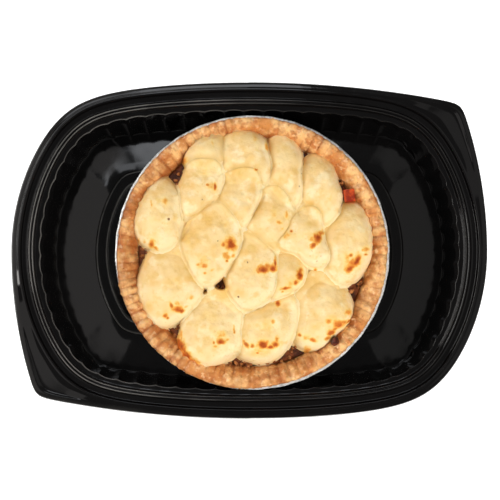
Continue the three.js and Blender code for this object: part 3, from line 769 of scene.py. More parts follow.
def plastic_material(settings):
    material, tree, shader = new_material("black_plastic", Specular_IOR_Level=0.5)
    cloudy = patches(tree, 42, 4, 0.35, 0.7)["Mask"]
    colour = mix_colour(tree, cloudy, settings.plastic, tuple(1.35 * part for part in settings.plastic))
    # Painted highlight: a light colour in patches along the edges that the profile marks, standing in for the
    # lamps' glints on the lips and the ledge.
    highlighted = calculate(tree, "MAXIMUM", patches(tree, 45, 2, 0.25, 0.60)["Mask"], 0.5)
    colour = mix_colour(tree, multiply(tree, attribute(tree, "worn"), highlighted), colour, settings.worn)
    tree.links.new(colour, shader.inputs["Base Color"])
    satin = rescale(tree, cloudy, {"To Min": 0.05, "To Max": 0.13})
    tree.links.new(satin, shader.inputs["Roughness"])
    bumpy(tree, shader, (noise(tree, 1500, 2), 0.00003, 0.15), (noise(tree, 60, 2), 0.0003, 0.25))
    return material


def foil_material():
    material, tree, shader = new_material("tin_foil", Metallic=0.4)
    creased = patches(tree, 240, 4, 0.35, 0.7)
    colour = mix_colour(tree, creased["Mask"], srgb(236, 235, 232), srgb(252, 252, 250))
    # Painted reflection: dark grey streaks standing in for the dark surroundings mirrored in the foil's
    # crinkles.
    colour = patched(tree, colour, srgb(120, 118, 118), 0.30, 430, 3, 0.56, 0.64)
    tree.links.new(colour, shader.inputs["Base Color"])
    dull = rescale(tree, creased["Noise"], {"To Min": 0.16, "To Max": 0.40})
    tree.links.new(dull, shader.inputs["Roughness"])
    bumpy(tree, shader, (noise(tree, 340, 4), 0.0006, 0.6))
    return material


# ---- Sizes and colours that a user would change ----

COLOUR = {"subtype": "COLOR", "size": 3, "min": 0, "max": 1}


class TraySettings(bpy.types.PropertyGroup):
    sheet: FloatProperty(name="Sheet", description="Thickness of the plastic", default=0.0008, unit="LENGTH")
    flute_depth: FloatProperty(
        name="Flute Depth", description="How far the wall turns in between two flutes", default=0.0014,
        unit="LENGTH")
    plastic: FloatVectorProperty(
        name="Plastic", description="Colour of the black plastic", default=(0.0022, 0.0019, 0.0019), **COLOUR)
    # The colour of the painted highlight along the tray's edges.
    worn: FloatVectorProperty(
        name="Worn Edge", description="Colour of the plastic where its edges are rubbed",
        default=(0.20, 0.19, 0.175), **COLOUR)


class TinSettings(bpy.types.PropertyGroup):
    foil: FloatProperty(name="Foil", description="Thickness of the foil", default=0.0004, unit="LENGTH")
    pleats: IntProperty(name="Pleats", description="Pleats round the wall", default=36)
    pleat_depth: FloatProperty(
        name="Pleat Depth", description="How deep the wall's pleats are", default=0.0003, unit="LENGTH")
    crimps: IntProperty(name="Crimps", description="Fine crimps round the rolled rim", default=216)
    crimp_depth: FloatProperty(
        name="Crimp Depth", description="How deep the rim's crimps are", default=0.00006, unit="LENGTH")


class CrustSettings(bpy.types.PropertyGroup):
    ridge_depth: FloatProperty(
        name="Ridge Depth", description="How deep the marks round the rim are", default=0.00055,
        unit="LENGTH")
    blister_size: FloatProperty(
        name="Blister Size", description="Radius of the largest blister", default=0.0010, unit="LENGTH")
    blister_density: FloatProperty(
        name="Blister Density", description="Blisters for each square metre", default=4e4)
    blister_seed: IntProperty(
        name="Blister Seed", description="Draw of the places of the blisters", default=4)
    pale: FloatVectorProperty(
        name="Pale", description="Colour of the least baked crust", default=srgb(240, 189, 125), **COLOUR)
    golden: FloatVectorProperty(
        name="Golden", description="Main colour of the crust", default=srgb(208, 137, 73), **COLOUR)
    deep: FloatVectorProperty(
        name="Deep", description="Colour of the most baked crust", default=srgb(150, 80, 34), **COLOUR)


class FillingSettings(bpy.types.PropertyGroup):
    lump_size: FloatProperty(
        name="Lump Size", description="Length of a piece of mince", default=0.0034, unit="LENGTH")
    lump_density: FloatProperty(
        name="Lump Density", description="Pieces of mince for each square metre", default=62000)
    seed: IntProperty(name="Seed", description="Draw of the places of the mince", default=7)


class PotatoSettings(bpy.types.PropertyGroup):
    wobble: FloatProperty(
        name="Wobble", description="How uneven a dollop's outline is, as a share of its size", default=0.012,
        subtype="FACTOR")
    # Cream also gives the painted light on each dollop's lower-right rim, and toasted the painted shade
    # towards its upper left.
    cream: FloatVectorProperty(
        name="Cream", description="Colour of the pale potato", default=srgb(244, 221, 171), **COLOUR)
    toasted: FloatVectorProperty(
        name="Toasted", description="Colour of the potato's dried upper skin", default=srgb(233, 189, 110),
        **COLOUR)
    # The colour of the painted shade in the creases between dollops.
    crease: FloatVectorProperty(
        name="Crease", description="Colour in the creases between dollops", default=srgb(216, 170, 84),
        **COLOUR)


class StageSettings(bpy.types.PropertyGroup):
    key: FloatProperty(name="Key Light", description="Power of the main light", default=14.0, unit="POWER")
    fill: FloatProperty(
        name="Fill Light", description="Power of the light from the far left", default=3.5, unit="POWER")
    low: FloatProperty(
        name="Low Light", description="Power of the low light at the left, which the tray's edges mirror",
        default=8.0, unit="POWER")
    ceiling: FloatProperty(
        name="Ceiling", description="Power of the wide light overhead", default=9.0, unit="POWER")
    softbox: FloatProperty(
        name="Softbox", description="Power of the light that the plastic mirrors", default=1.4, unit="POWER")
    streak: FloatProperty(
        name="Streak Box", description="Power of the small light that the tray's corner mirrors",
        default=0.55, unit="POWER")
    side_panel: FloatProperty(
        name="Side Panel", description="Power of the dim panel at the left", default=1.1, unit="POWER")
    right_panel: FloatProperty(
        name="Right Panel", description="Power of the dim panel at the right", default=0.52, unit="POWER")
    sky: FloatProperty(name="Sky", description="Strength of the even light", default=0.10)
    elevation: FloatProperty(
        name="Elevation", description="How steeply the camera looks down", default=radians(87.3),
        subtype="ANGLE")
    distance: FloatProperty(
        name="Distance", description="From the camera to the tray's rim", default=1.0, unit="LENGTH")


GROUPS = {
    "pie_tray": TraySettings, "pie_tin": TinSettings, "pie_crust": CrustSettings,
    "pie_filling": FillingSettings, "pie_potato": PotatoSettings, "pie_stage": StageSettings,
}


# ---- Shared parts of the node trees that shape pieces ----

FINISH = ("Finish", "NodeSocketMaterial", None)


def pushed(tree, shape, way, distance):
    """Moves a shape's points along a direction."""
    push = vector_math(tree, "SCALE", {0: way, "Scale": distance})[0]
    return add(tree, "GeometryNodeSetPosition", {"Geometry": shape, "Offset": push}).outputs[0]


def scattered(tree, given, shape, size, turn=None):
    """Copies of a shape over the part of the first input that shows, upright on it unless turned."""
    shown = add(tree, "GeometryNodeInputNamedAttribute", {"Name": "shown"}, data_type="FLOAT").outputs[0]
    points = add(tree, "GeometryNodeDistributePointsOnFaces", {
        "Mesh": given[0], "Density": multiply(tree, shown, given["Density"]), "Seed": given["Seed"]}).outputs
    upright = points["Rotation"] if turn is None else turn
    return add(tree, "GeometryNodeInstanceOnPoints", {
        "Points": points["Points"], "Instance": shape, "Rotation": upright, "Scale": size}).outputs[0]


def dressed(tree, shape, given, result):
    """Ends a tree: its copies are made real and take the finish."""
    real = add(tree, "GeometryNodeRealizeInstances", {"Geometry": shape}).outputs[0]
    finished = add(tree, "GeometryNodeSetMaterial", {"Geometry": real, "Material": given["Finish"]})
    tree.links.new(finished.outputs[0], result[0])
    return tree


# ---- Tray ----

def distance_to_side(cosine, middle, radius):
    """Distance from the centre to a bowed side, at a cosine from the way to the side's middle."""
    centre = middle - radius
    return cosine * centre + np.sqrt((cosine * centre) ** 2 - centre ** 2 + radius ** 2)


def plan_distance(angle, end, side, power, end_radius=TRAY_END_RADIUS, side_radius=TRAY_SIDE_RADIUS):
    """Distance from the centre to the outline that is `end` and `side` inside the tray's own."""
    to_end = distance_to_side(np.abs(np.cos(angle)), TRAY_HALF_LENGTH - end, end_radius - end)
    to_side = distance_to_side(np.abs(np.sin(angle)), TRAY_HALF_WIDTH - side, side_radius - side)
    return (to_end ** -power + to_side ** -power) ** (-1 / power)


def tab_reach(angle, inset):
    """How far the tabs on two opposite corners stand out past the round outline."""
    rounded = plan_distance(angle, inset, inset, CORNER_POWER)
    tabbed = plan_distance(angle, inset, inset, TAB_CORNER_POWER, TAB_END_RADIUS, TAB_SIDE_RADIUS)
    return np.where(np.sin(2 * angle) > 0, np.maximum(tabbed - rounded, 0), 0)


def ledge_line(count):
    """Points evenly spaced along the ledge's edge and the way out square to it, from a tab's tip on."""
    angle = np.linspace(0, 2 * pi, LEDGE_STEPS)
    distance = plan_distance(angle, LEDGE_INSET, LEDGE_INSET, CORNER_POWER)
    curve = distance[:, None] * np.stack([np.cos(angle), np.sin(angle)], axis=-1)
    lengths = np.concatenate([[0], np.cumsum(np.linalg.norm(np.diff(curve, axis=0), axis=1))])
    tip = lengths[np.argmax(tab_reach(angle, 0) * (angle < pi / 2) + distance * 1e-6)]
    wanted = (tip + np.arange(count) * lengths[-1] / count) % lengths[-1]
    at = np.stack([np.interp(wanted, lengths, curve[:, i]) for i in range(2)], axis=-1)
    along = np.stack([np.interp(wanted, lengths, np.gradient(curve[:, i])) for i in range(2)], axis=-1)
    along /= np.linalg.norm(along, axis=1, keepdims=True)
    return at, np.stack([along[:, 1], -along[:, 0]], axis=-1)


def out_to(at, out, distance_at):
    """Where the lines out of the ledge's points meet the curve at a given distance from the centre."""
    low = np.full(len(at), 2.0 * LEDGE_INSET - TRAY_HALF_WIDTH)
    high = np.full(len(at), 3.0 * LEDGE_INSET)
    for _ in range(HALVINGS):
        middle = (low + high) / 2
        point = at + out * middle[:, None]
        inside = np.hypot(*point.T) < distance_at(np.arctan2(point[:, 1], point[:, 0]))
        low = np.where(inside, middle, low)
        high = np.where(inside, high, middle)
    return at + out * low[:, None]


def corner_sag(place, inset):
    """How far each corner of the sloping floor sinks between its two folds."""
    share = np.clip((inset - SLOPE_START) / (SLOPE_END - SLOPE_START), 0, 1)
    folds = [[a + share * (b - a) for a, b in zip(outer, inner)] for outer, inner in FLOOR_FOLDS]
    first, second = (np.arctan2(y, x) for x, y in folds)
    angle = np.arctan2(np.abs(place[:, 1]), np.abs(place[:, 0]))
    along = np.clip((angle - first) / (second - first), 0, 1)
    on_slope = float(SLOPE_START - 0.01 <= inset <= SLOPE_END + 0.01)
    return on_slope * CORNER_SAG * 4 * along * (1 - along) * (0.35 + 0.65 * sin(pi * share))


def tray_rings(settings):
    """The tray's upper face as rings of points, from the skirt's hem to near the middle, and the painted
    highlight along its edges.
    """
    count = FLUTES * SAMPLES_PER_FLUTE
    at, out = ledge_line(count)
    cusp = (1 - np.abs(np.sin(pi * np.arange(count) / SAMPLES_PER_FLUTE))) ** FLUTE_CUSP
    profile = np.array(TRAY_PROFILE, float)
    pad = profile[2] + (profile[3] - profile[2]) * np.linspace(0, 1, PAD_ROWS)[:, None]
    rows = np.concatenate([
        soften([*profile[:2], pad[0], pad[1]], SKIRT_ROUNDING, ROUNDING_STEPS)[:-1], pad[1:-1],
        soften([pad[-2], *profile[3:]], LIP_ROUNDING, ROUNDING_STEPS)[1:]])
    rings, edges = [], []
    for end, side, height, power, flute, tab, worn in subdivide(rows, LONGEST_STEP):
        place = out_to(at, out, lambda way: plan_distance(way, end, side, power) + tab * tab_reach(way, end))
        angle = np.arctan2(place[:, 1], place[:, 0])
        place = place - out * (cusp * flute * settings.flute_depth / MM)[:, None]
        height = height - corner_sag(place, end)
        sunken = step_up(3, 9, tab_reach(angle, 0)) * step_up(0.02, 0.2, tab) * step_up(0.98, 0.86, tab)
        rings.append(np.column_stack([place, height - TAB_SINK * sunken]))
        # Painted highlight along the edges, brightest towards the left.
        edges.append(worn * (0.10 + 0.90 * step_up(-0.3, 0.8, np.cos(angle - HIGHLIGHT_SIDE))))
    return np.array(rings), np.array(edges)


class PIE_OT_tray(bpy.types.Operator):
    """Makes the black meal tray with its flange, tabs, fluted wall and stepped floor"""
    bl_idname = "pie.make_tray"
    bl_label = "Meal Tray"

    def execute(self, context):
        settings = context.scene.pie_tray
        upper, worn = tray_rings(settings)
        below = ring_normals(upper)
        below = below if below[-2, 0, 2] < 0 else -below
        lower = upper + below * settings.sheet / MM
        lower[..., 2] = np.maximum(lower[..., 2], 0)
        kept = np.unique([*range(0, len(lower), TRAY_UNDER_EVERY), len(lower) - 1])
        rings = np.concatenate([upper[::-1], lower[kept]])
        poles = [(0, 0, upper[-1, 0, 2]), (0, 0, lower[-1, 0, 2])]
        worn = np.concatenate([worn[::-1], np.zeros(lower[kept].shape[:2])])
        piece = ring_piece("meal_tray", rings, poles, {"worn": worn})
        piece.data.materials.append(plastic_material(settings))
        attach(piece, "root")
        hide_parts("tray")
        return {"FINISHED"}


# ---- Foil tin ----

def tin_profile(foil):
    """The tin's section from the middle of its base inside, over the rolled rim and back beneath."""
    floor = TIN_BASE + foil
    ledge = TIN_RIM_HEIGHT - 0.1
    rise = TIN_RIM_HEIGHT - 0.4 - TIN_BASE - foil - TIN_FOOT_CURVE
    slope = [((TIN_MOUTH_RADIUS - TIN_BASE_RADIUS) * s, rise * s) for s in np.linspace(0, 1, TIN_WALL_ROWS)]
    inside = [(radius, floor) for radius in (20, 40, 54, 58.6)]
    inside += [(TIN_BASE_RADIUS + out, floor + TIN_FOOT_CURVE + up) for out, up in slope]
    inside += [(TIN_MOUTH_RADIUS + 0.7, ledge), (TIN_RIM_RADIUS - 2.0, ledge)]
    roll = [(TIN_RIM_RADIUS - 0.55 + 0.95 * sin(radians(a)), TIN_RIM_HEIGHT - 0.75 + 0.75 * cos(radians(a)))
            for a in range(0, 271, 30)]
    under = [(TIN_RIM_RADIUS - 2.2, ledge - foil), (TIN_MOUTH_RADIUS + 0.9, TIN_RIM_HEIGHT - 0.5)]
    under += [(TIN_BASE_RADIUS + foil + out, TIN_BASE + TIN_FOOT_CURVE + up) for out, up in slope[:0:-1]]
    under += [(TIN_BASE_RADIUS - 0.4, TIN_BASE + 0.15), (54, TIN_BASE), (30, TIN_BASE)]
    return np.array(inside + roll + under)


def pleating_group():
    """Pleats a round shell: waves round the wall, fine crimps on the rim and crumpling all over."""
    tree, given, result = new_group("Pleating", "GeometryNodeTree", [
        ("Shell", BODY, None), ("Pleats", WHOLE_NUMBER, 36), ("Pleat Depth", NUMBER, 0.0003),
        ("Crimps", WHOLE_NUMBER, 216), ("Crimp Depth", NUMBER, 0.00006), ("Rim Radius", NUMBER, 0.076),
        FINISH], [("Tin", BODY)])
    position = add(tree, "GeometryNodeInputPosition").outputs[0]
    middle = vector_math(tree, "SUBTRACT", {0: position, 1: (*PIE_MIDDLE * MM, 0)})[0]
    apart = add(tree, "ShaderNodeSeparateXYZ", {0: middle}).outputs
    flat = add(tree, "ShaderNodeCombineXYZ", {"X": apart["X"], "Y": apart["Y"]}).outputs[0]
    angle = calculate(tree, "ARCTAN2", apart["Y"], apart["X"])
    outward = vector_math(tree, "NORMALIZE", {0: flat})[0]
    radius = vector_math(tree, "LENGTH", {0: flat})["Value"]
    share = calculate(tree, "DIVIDE", radius, given["Rim Radius"])
    on_wall = rescale(tree, share, {"From Min": 0.76, "From Max": 0.80})
    on_rim = rescale(tree, share, {"From Min": 0.965, "From Max": 0.99})

    def waves(name, place):
        turns = calculate(tree, "SINE", multiply(tree, angle, given[f"{name}s"]))
        return multiply(tree, turns, given[f"{name} Depth"], place)

    patch = rescale(
        tree, raw_noise(tree, 55.0, 2.0, {"Vector": position}), {"From Min": 0.4, "From Max": 0.65})
    crimp = multiply(tree, waves("Crimp", on_rim), calculate(tree, "ADD", patch, 0.25))
    crumple = calculate(tree, "SUBTRACT", raw_noise(tree, 110.0, 3.0, {"Vector": position}), 0.5)
    crumple = multiply(tree, crumple, 0.0003, on_wall)
    slack = calculate(tree, "MULTIPLY_ADD", on_rim, -0.65, 1.0)
    loose = multiply(tree, calculate(tree, "ADD", waves("Pleat", on_wall), crumple), slack)
    moved = pushed(tree, given["Shell"], outward, calculate(tree, "ADD", loose, crimp))
    return dressed(tree, moved, given, result)


class PIE_OT_tin(bpy.types.Operator):
    """Makes the round foil tin with its pleated wall and rolled, crimped rim"""
    bl_idname = "pie.make_tin"
    bl_label = "Foil Tin"

    def execute(self, context):
        settings = context.scene.pie_tin
        foil = settings.foil / MM
        angle = np.linspace(0, 2 * pi, SAMPLES_PER_CRIMP * settings.crimps, endpoint=False)
        radius, height = tin_profile(foil).T[..., None]
        rings = on_circles(radius, angle, height)
        rings[..., :2] += PIE_MIDDLE
        poles = [(*PIE_MIDDLE, TIN_BASE + foil), (*PIE_MIDDLE, TIN_BASE)]
        piece = ring_piece("pie_tin", rings, poles)
        shaped_by(piece, pleating_group(), {
            "Pleats": settings.pleats, "Pleat Depth": settings.pleat_depth, "Crimps": settings.crimps,
            "Crimp Depth": settings.crimp_depth, "Rim Radius": TIN_RIM_RADIUS * MM,
            "Finish": foil_material()})
        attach(piece, "root")
        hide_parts("foil_tin")
        return {"FINISHED"}


# ---- Pastry ----

def crust_rows():
    """The crust's section with rounded corners, finer where it shows."""
    rows = subdivide(soften([(r, 0, z) for r, z in CRUST_SECTION], CRUST_ROUNDING, 4), CRUST_STEP)
    kept = rows[:, 2] > FILLING_HEIGHT - 8
    kept[::3] = True
    kept[-1] = True
    return rows[kept]


def crust_rings(settings):
    """The crust's rings, how darkly it is baked, with painted shade in its hollows, and where it shows."""
    radius, _, height = crust_rows().T[..., None]
    angle = np.linspace(0, 2 * pi, CRUST_SAMPLES, endpoint=False)
    radius, around, height = np.broadcast_arrays(radius, angle, height)
    upper = step_up(36.2, 38.5, height)
    inner = step_up(CREST_RADIUS, INNER_MOUTH + 2, radius)
    inner = inner * step_up(FILLING_HEIGHT - 6, FILLING_HEIGHT, height)
    shown = np.maximum(upper, inner)
    spot = on_circles(radius, around, height)
    drift = around + RIDGE_DRIFT * uneven(on_circles(60, around, 0), 26, 3)
    ridge = (np.sin(CRUST_RIDGES * drift / 2) ** 2 + 0.04) ** 0.42 - 0.6
    ridge *= 0.55 + 0.45 * uneven(spot, 21, 5)
    depth = settings.ridge_depth / MM * (1.15 * upper + 1.3 * inner * (1 - 0.4 * upper))
    across = np.stack([radius * 0.22, 70 * np.cos(around), 70 * np.sin(around)], axis=-1)
    wrinkle = layered(across, CRUST_WRINKLES)
    lumps = layered(spot, CRUST_LUMPS) + wrinkle
    push = depth * ridge * 1.9 + lumps * 0.75 * shown
    lean = np.where(radius > CREST_RADIUS, 0.7, -0.7)
    pressed = 1 - 0.6 * step_up(73.8, 74.8, radius)
    hang = step_up(pi * 0.97, pi * 1.10, around) * step_up(pi * 1.56, pi * 1.44, around)
    hang = OVERHANG * hang * step_up(37.5, 39.0, height) * (radius > CREST_RADIUS)
    radius = radius + push * lean * shown * pressed + hang
    height = height + push * upper * 0.8
    # How dark the crust is: real baking in patches and on its darker side, painted shade on the inner wall
    # near the filling, in the ridges' valleys and in the wrinkles' hollows, and darker on its outer face.
    bake = 0.34 * step_up(0.1, 0.9, inner) * step_up(39.8, 34.0, height)
    bake = bake + 0.38 * step_up(0.0, 0.34, -ridge) * shown + 0.25 * step_up(74.2, 75.4, radius)
    bake = bake + layered(spot, BAKED_PATCHES) - 0.7 * wrinkle
    bake = np.clip(bake + 0.02 + 0.18 * np.cos(around - BROWN_SIDE), 0, 1)
    rings = on_circles(radius, around, height)
    rings[..., :2] += PIE_MIDDLE
    return rings, bake, shown


def blister_group():
    """Scatters small flat domes over the part of a surface that shows, half sunk in it."""
    tree, given, result = new_group("Blisters", "GeometryNodeTree", [
        ("Crust", BODY, None), ("Size", NUMBER, 0.0010), ("Density", NUMBER, 4e4), ("Seed", WHOLE_NUMBER, 4),
        FINISH], [("Blisters", BODY)])
    dome = add(tree, "GeometryNodeMeshIcoSphere", {"Radius": given["Size"], "Subdivisions": 2}).outputs[0]
    size = add(tree, "FunctionNodeRandomValue", {2: 0.35, 3: 1.0, "Seed": given["Seed"]}, data_type="FLOAT")
    size = size.outputs[1]
    flat = add(tree, "ShaderNodeCombineXYZ", {
        "X": size, "Y": multiply(tree, size, 0.8), "Z": multiply(tree, size, 0.45)}).outputs[0]
    return dressed(tree, scattered(tree, given, dome, flat), given, result)


class PIE_OT_pastry(bpy.types.Operator):
    """Makes the baked pastry case with its ridged, blistered rim"""
    bl_idname = "pie.make_pastry"
    bl_label = "Pastry Case"

    def execute(self, context):
        settings = context.scene.pie_crust
        rings, bake, shown = crust_rings(settings)
        poles = [(*PIE_MIDDLE, PASTRY_BASE), (*PIE_MIDDLE, PASTRY_FLOOR)]
        piece = ring_piece("pastry_crust", rings, poles, {"bake": bake, "shown": shown})
        finish = crust_material(settings)
        piece.data.materials.append(finish)
        blisters = shaped_by(placed("crust_blisters", piece.data.copy()), blister_group(), {
            "Size": settings.blister_size, "Density": settings.blister_density,
            "Seed": settings.blister_seed, "Finish": finish})
        for made in (piece, blisters):
            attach(made, "root")
        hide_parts("pastry_case")
        return {"FINISHED"}


# ---- Filling ----

def filling_rings():
    """The filling's under side, edge and lumpy top, as rings, and where it shows."""
    reach = np.array([56.6, 61.4, 63.4, 63.2, *np.linspace(62.2, 4, FILLING_RINGS)])
    height = np.array([PASTRY_FLOOR + 0.4, 27.0, 32.0, 32.9, *np.full(FILLING_RINGS, FILLING_HEIGHT)])
    angle = np.linspace(0, 2 * pi, FILLING_SAMPLES, endpoint=False)
    rings = on_circles(reach[:, None], angle, height[:, None])
    shown = step_up(32, 33, rings[..., 2])
    rings[..., 2] += layered(rings, FILLING_LUMPS) * shown
    rings[..., :2] += PIE_MIDDLE
    return rings, shown


def mince_group():
    """Scatters uneven pieces of mince over a surface, half sunk in it."""
    tree, given, result = new_group("Mince", "GeometryNodeTree", [
        ("Filling", BODY, None), ("Size", NUMBER, 0.0034), ("Density", NUMBER, 62000),
        ("Seed", WHOLE_NUMBER, 7), FINISH], [("Mince", BODY)])
    lump = add(tree, "GeometryNodeMeshIcoSphere", {
        "Radius": multiply(tree, given["Size"], 0.5), "Subdivisions": 2}).outputs[0]
    swell = multiply(tree, calculate(tree, "SUBTRACT", raw_noise(tree, 900.0, 2.0, {}), 0.5), 0.0022)
    rough = pushed(tree, lump, add(tree, "GeometryNodeInputNormal").outputs[0], swell)
    turn, size = (
        add(tree, "FunctionNodeRandomValue", {0: low, 1: high, "Seed": given["Seed"]},
            data_type="FLOAT_VECTOR").outputs[0]
        for low, high in (((0, 0, 0), (6.28, 6.28, 6.28)), ((0.6, 0.45, 0.45), (1.5, 0.9, 0.9))))
    return dressed(tree, scattered(tree, given, rough, size, turn), given, result)


class PIE_OT_filling(bpy.types.Operator):
    """Makes the gravy and the pieces of mince that show between the dollops"""
    bl_idname = "pie.make_filling"
    bl_label = "Meat Filling"

    def execute(self, context):
        settings = context.scene.pie_filling
        rings, shown = filling_rings()
        poles = [(*PIE_MIDDLE, PASTRY_FLOOR + 0.4), (*PIE_MIDDLE, FILLING_HEIGHT)]
        piece = ring_piece("meat_gravy", rings, poles, {"shown": shown})
        piece.data.materials.append(gravy_material())
        mince = shaped_by(placed("mince_lumps", piece.data.copy()), mince_group(), {
            "Size": settings.lump_size, "Density": settings.lump_density, "Seed": settings.seed,
            "Finish": mince_material("minced_meat", srgb(116, 62, 28), srgb(190, 124, 68))})
        for made in (piece, mince):
            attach(made, "root")
        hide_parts("filling")
        return {"FINISHED"}


# ---- Piped potato ----

def crust_height(radius):
    """The height of the crust's inner face and top, from the filling outwards."""
    face = CRUST_SECTION[CREST_CORNER:MOUTH_CORNER + 1][::-1]
    return np.interp(radius, *zip(*face))


def open_gap(x, y):
    """1 in the middle of a gap that the potato leaves open, and 0 outside it."""
    inside = np.zeros_like(x)
    for middle_x, middle_y, radius in GAPS:
        away = np.hypot(x - middle_x, y - middle_y)
        inside = np.maximum(inside, step_up(radius + GAP_EDGE, radius - GAP_EDGE, away))
    return inside


def closed(x, y):
    """1 where the potato closes over the filling, and 0 at the crust and in the open gaps."""
    return step_up(FOOT_REACH, FOOT_REACH - FOOT_FADE, np.hypot(x, y)) * (1 - open_gap(x, y))


class Dollop:
    """One dollop's outline and its height over what it lies on."""

    def __init__(self, number, wobble):
        self.number = number
        self.x, self.y, self.high, turn, reach = DOLLOPS[number]
        self.tucked = unit(turn)
        self.across = np.array([-self.tucked[1], self.tucked[0]])
        draw = np.random.default_rng(DOLLOP_SEED + number)
        angle = np.linspace(-pi, pi, OUTLINE_STEPS)
        waves = sum(np.cos(n * angle + draw.uniform(0, 2 * pi)) / n for n in OUTLINE_WAVES)
        corners = np.linspace(-2 * pi, 2 * pi, 2 * len(reach) + 1)
        even = np.interp(angle, corners, [*reach, *reach, reach[0]])
        even[:-1] = smoothed(even[:-1], OUTLINE_ROUNDS)
        even[-1] = even[0]
        self.reach = (angle, even + wobble * even.mean() * waves)
        along, beside = (even * way(angle - radians(turn)) for way in (np.cos, np.sin))
        self.free, self.inner = -along.min(), along.max()
        self.half_wide = np.ptp(beside) / 2
        self.tilt = draw.uniform(0.02, 0.10)
        self.rim, self.level = None, 0

    def place(self, share, angle):
        """The point at a share of the way from the dollop's middle to its outline."""
        distance = share * np.interp((angle + pi) % (2 * pi) - pi, *self.reach)
        return self.x + distance * np.cos(angle), self.y + distance * np.sin(angle)

    def locate(self, x, y):
        """The share of the way to the outline and the angle at any point."""
        dx, dy = x - self.x, y - self.y
        angle = np.arctan2(dy, dx)
        return np.hypot(dx, dy) / np.interp(angle, *self.reach), angle

    def spot(self, x, y):
        """Where the dollop's own unevenness is read, so that no two are alike."""
        return np.stack([x, y, np.full_like(x, DOLLOP_SPACING * self.number)], axis=-1)

    def settle(self, below):
        """Finds the level of what the dollop's edge lies on, evened out along the edge."""
        angle = self.reach[0]
        level = surface(below, *self.place(np.ones_like(angle), angle))[:-1]
        level = smoothed(level, LEVEL_ROUNDS)
        self.rim, self.level = (angle, np.append(level, level[0])), level.mean()

    @staticmethod
    def foot(share, x, y):
        """The low foot by which a dollop runs into its neighbours."""
        fall = step_up(1.03, FOOT_SHARE, share)
        return FILLING_HEIGHT + (POTATO_BASE + FOOT_HEIGHT - FILLING_HEIGHT) * closed(x, y) * (1 - fall)

    def over(self, x, y, below):
        """The top surface once this dollop lies on the one below: its crown, melted in round its edge."""
        share, angle = self.locate(x, y)
        rim = self.level + (np.interp(angle, *self.rim) - self.level) * np.clip(share, 0, 1) ** 3
        dx, dy = x - self.x, y - self.y
        forward = -(dx * self.tucked[0] + dy * self.tucked[1])
        forward = forward / np.where(forward > 0, self.free, self.inner)
        left = (dx * self.across[0] + dy * self.across[1]) / self.half_wide
        rise = np.sin(pi / 2 * np.clip((forward + 1) / 1.5, 0, 1))
        top = POTATO_BASE + self.high * (0.60 + 0.40 * rise - self.tilt * left)
        top = np.maximum(top + layered(self.spot(x, y), POTATO_LUMPS), rim + 1.4)
        sharp = 2.0 + 1.3 * step_up(-0.3, 0.7, 0.75 * forward - 0.65 * left)
        edge = np.sqrt(np.clip(1 - np.clip(share, 0, 1) ** sharp, 0, 1))
        own = rim + (top - rim) * edge - FALL * np.maximum(share - 1, 0) * self.half_wide
        own = np.maximum(own, self.foot(share, x, y))
        radius = np.hypot(x, y)
        crust = crust_height(radius) - CRUST_GAP
        own = own + (crust - own) * step_up(66.0, 71.0, radius) * (own > crust)
        return below + (own - below + np.hypot(own - below, MELT)) / 2


def surface(laid, x, y):
    """The top surface at points from the pie's middle, once some dollops have been laid."""
    level = np.full_like(x, FILLING_HEIGHT)
    for dollop in laid:
        share = dollop.locate(x, y)[0]
        level = np.where(share < FOOT_SHARE, dollop.over(x, y, level), level)
    return level


def blotch(x, y, mark):
    """A scorch: 1 in its middle, fading slowly up the slope and ending sharply down it."""
    middle_x, middle_y, half_long, half_wide, turn, strength = mark
    along = unit(turn)
    dx, dy = x - middle_x, y - middle_y
    length = (dx * along[0] + dy * along[1]) / half_long
    width = (-dx * along[1] + dy * along[0]) / half_wide
    width = np.where(width < 0, width * 1.15, width * 0.75)
    ragged = layered(np.stack([x, y, np.zeros_like(x)], axis=-1), SCORCH_EDGES)
    gone = np.hypot(length, width) + ragged
    return strength * sum(part * step_up(start, full, gone) for part, start, full in SCORCH_PARTS)


def beneath(rows):
    """The rows that a dollop's under side keeps, from its foot inwards."""
    return rows[::DOLLOP_UNDER_EVERY][::-1]


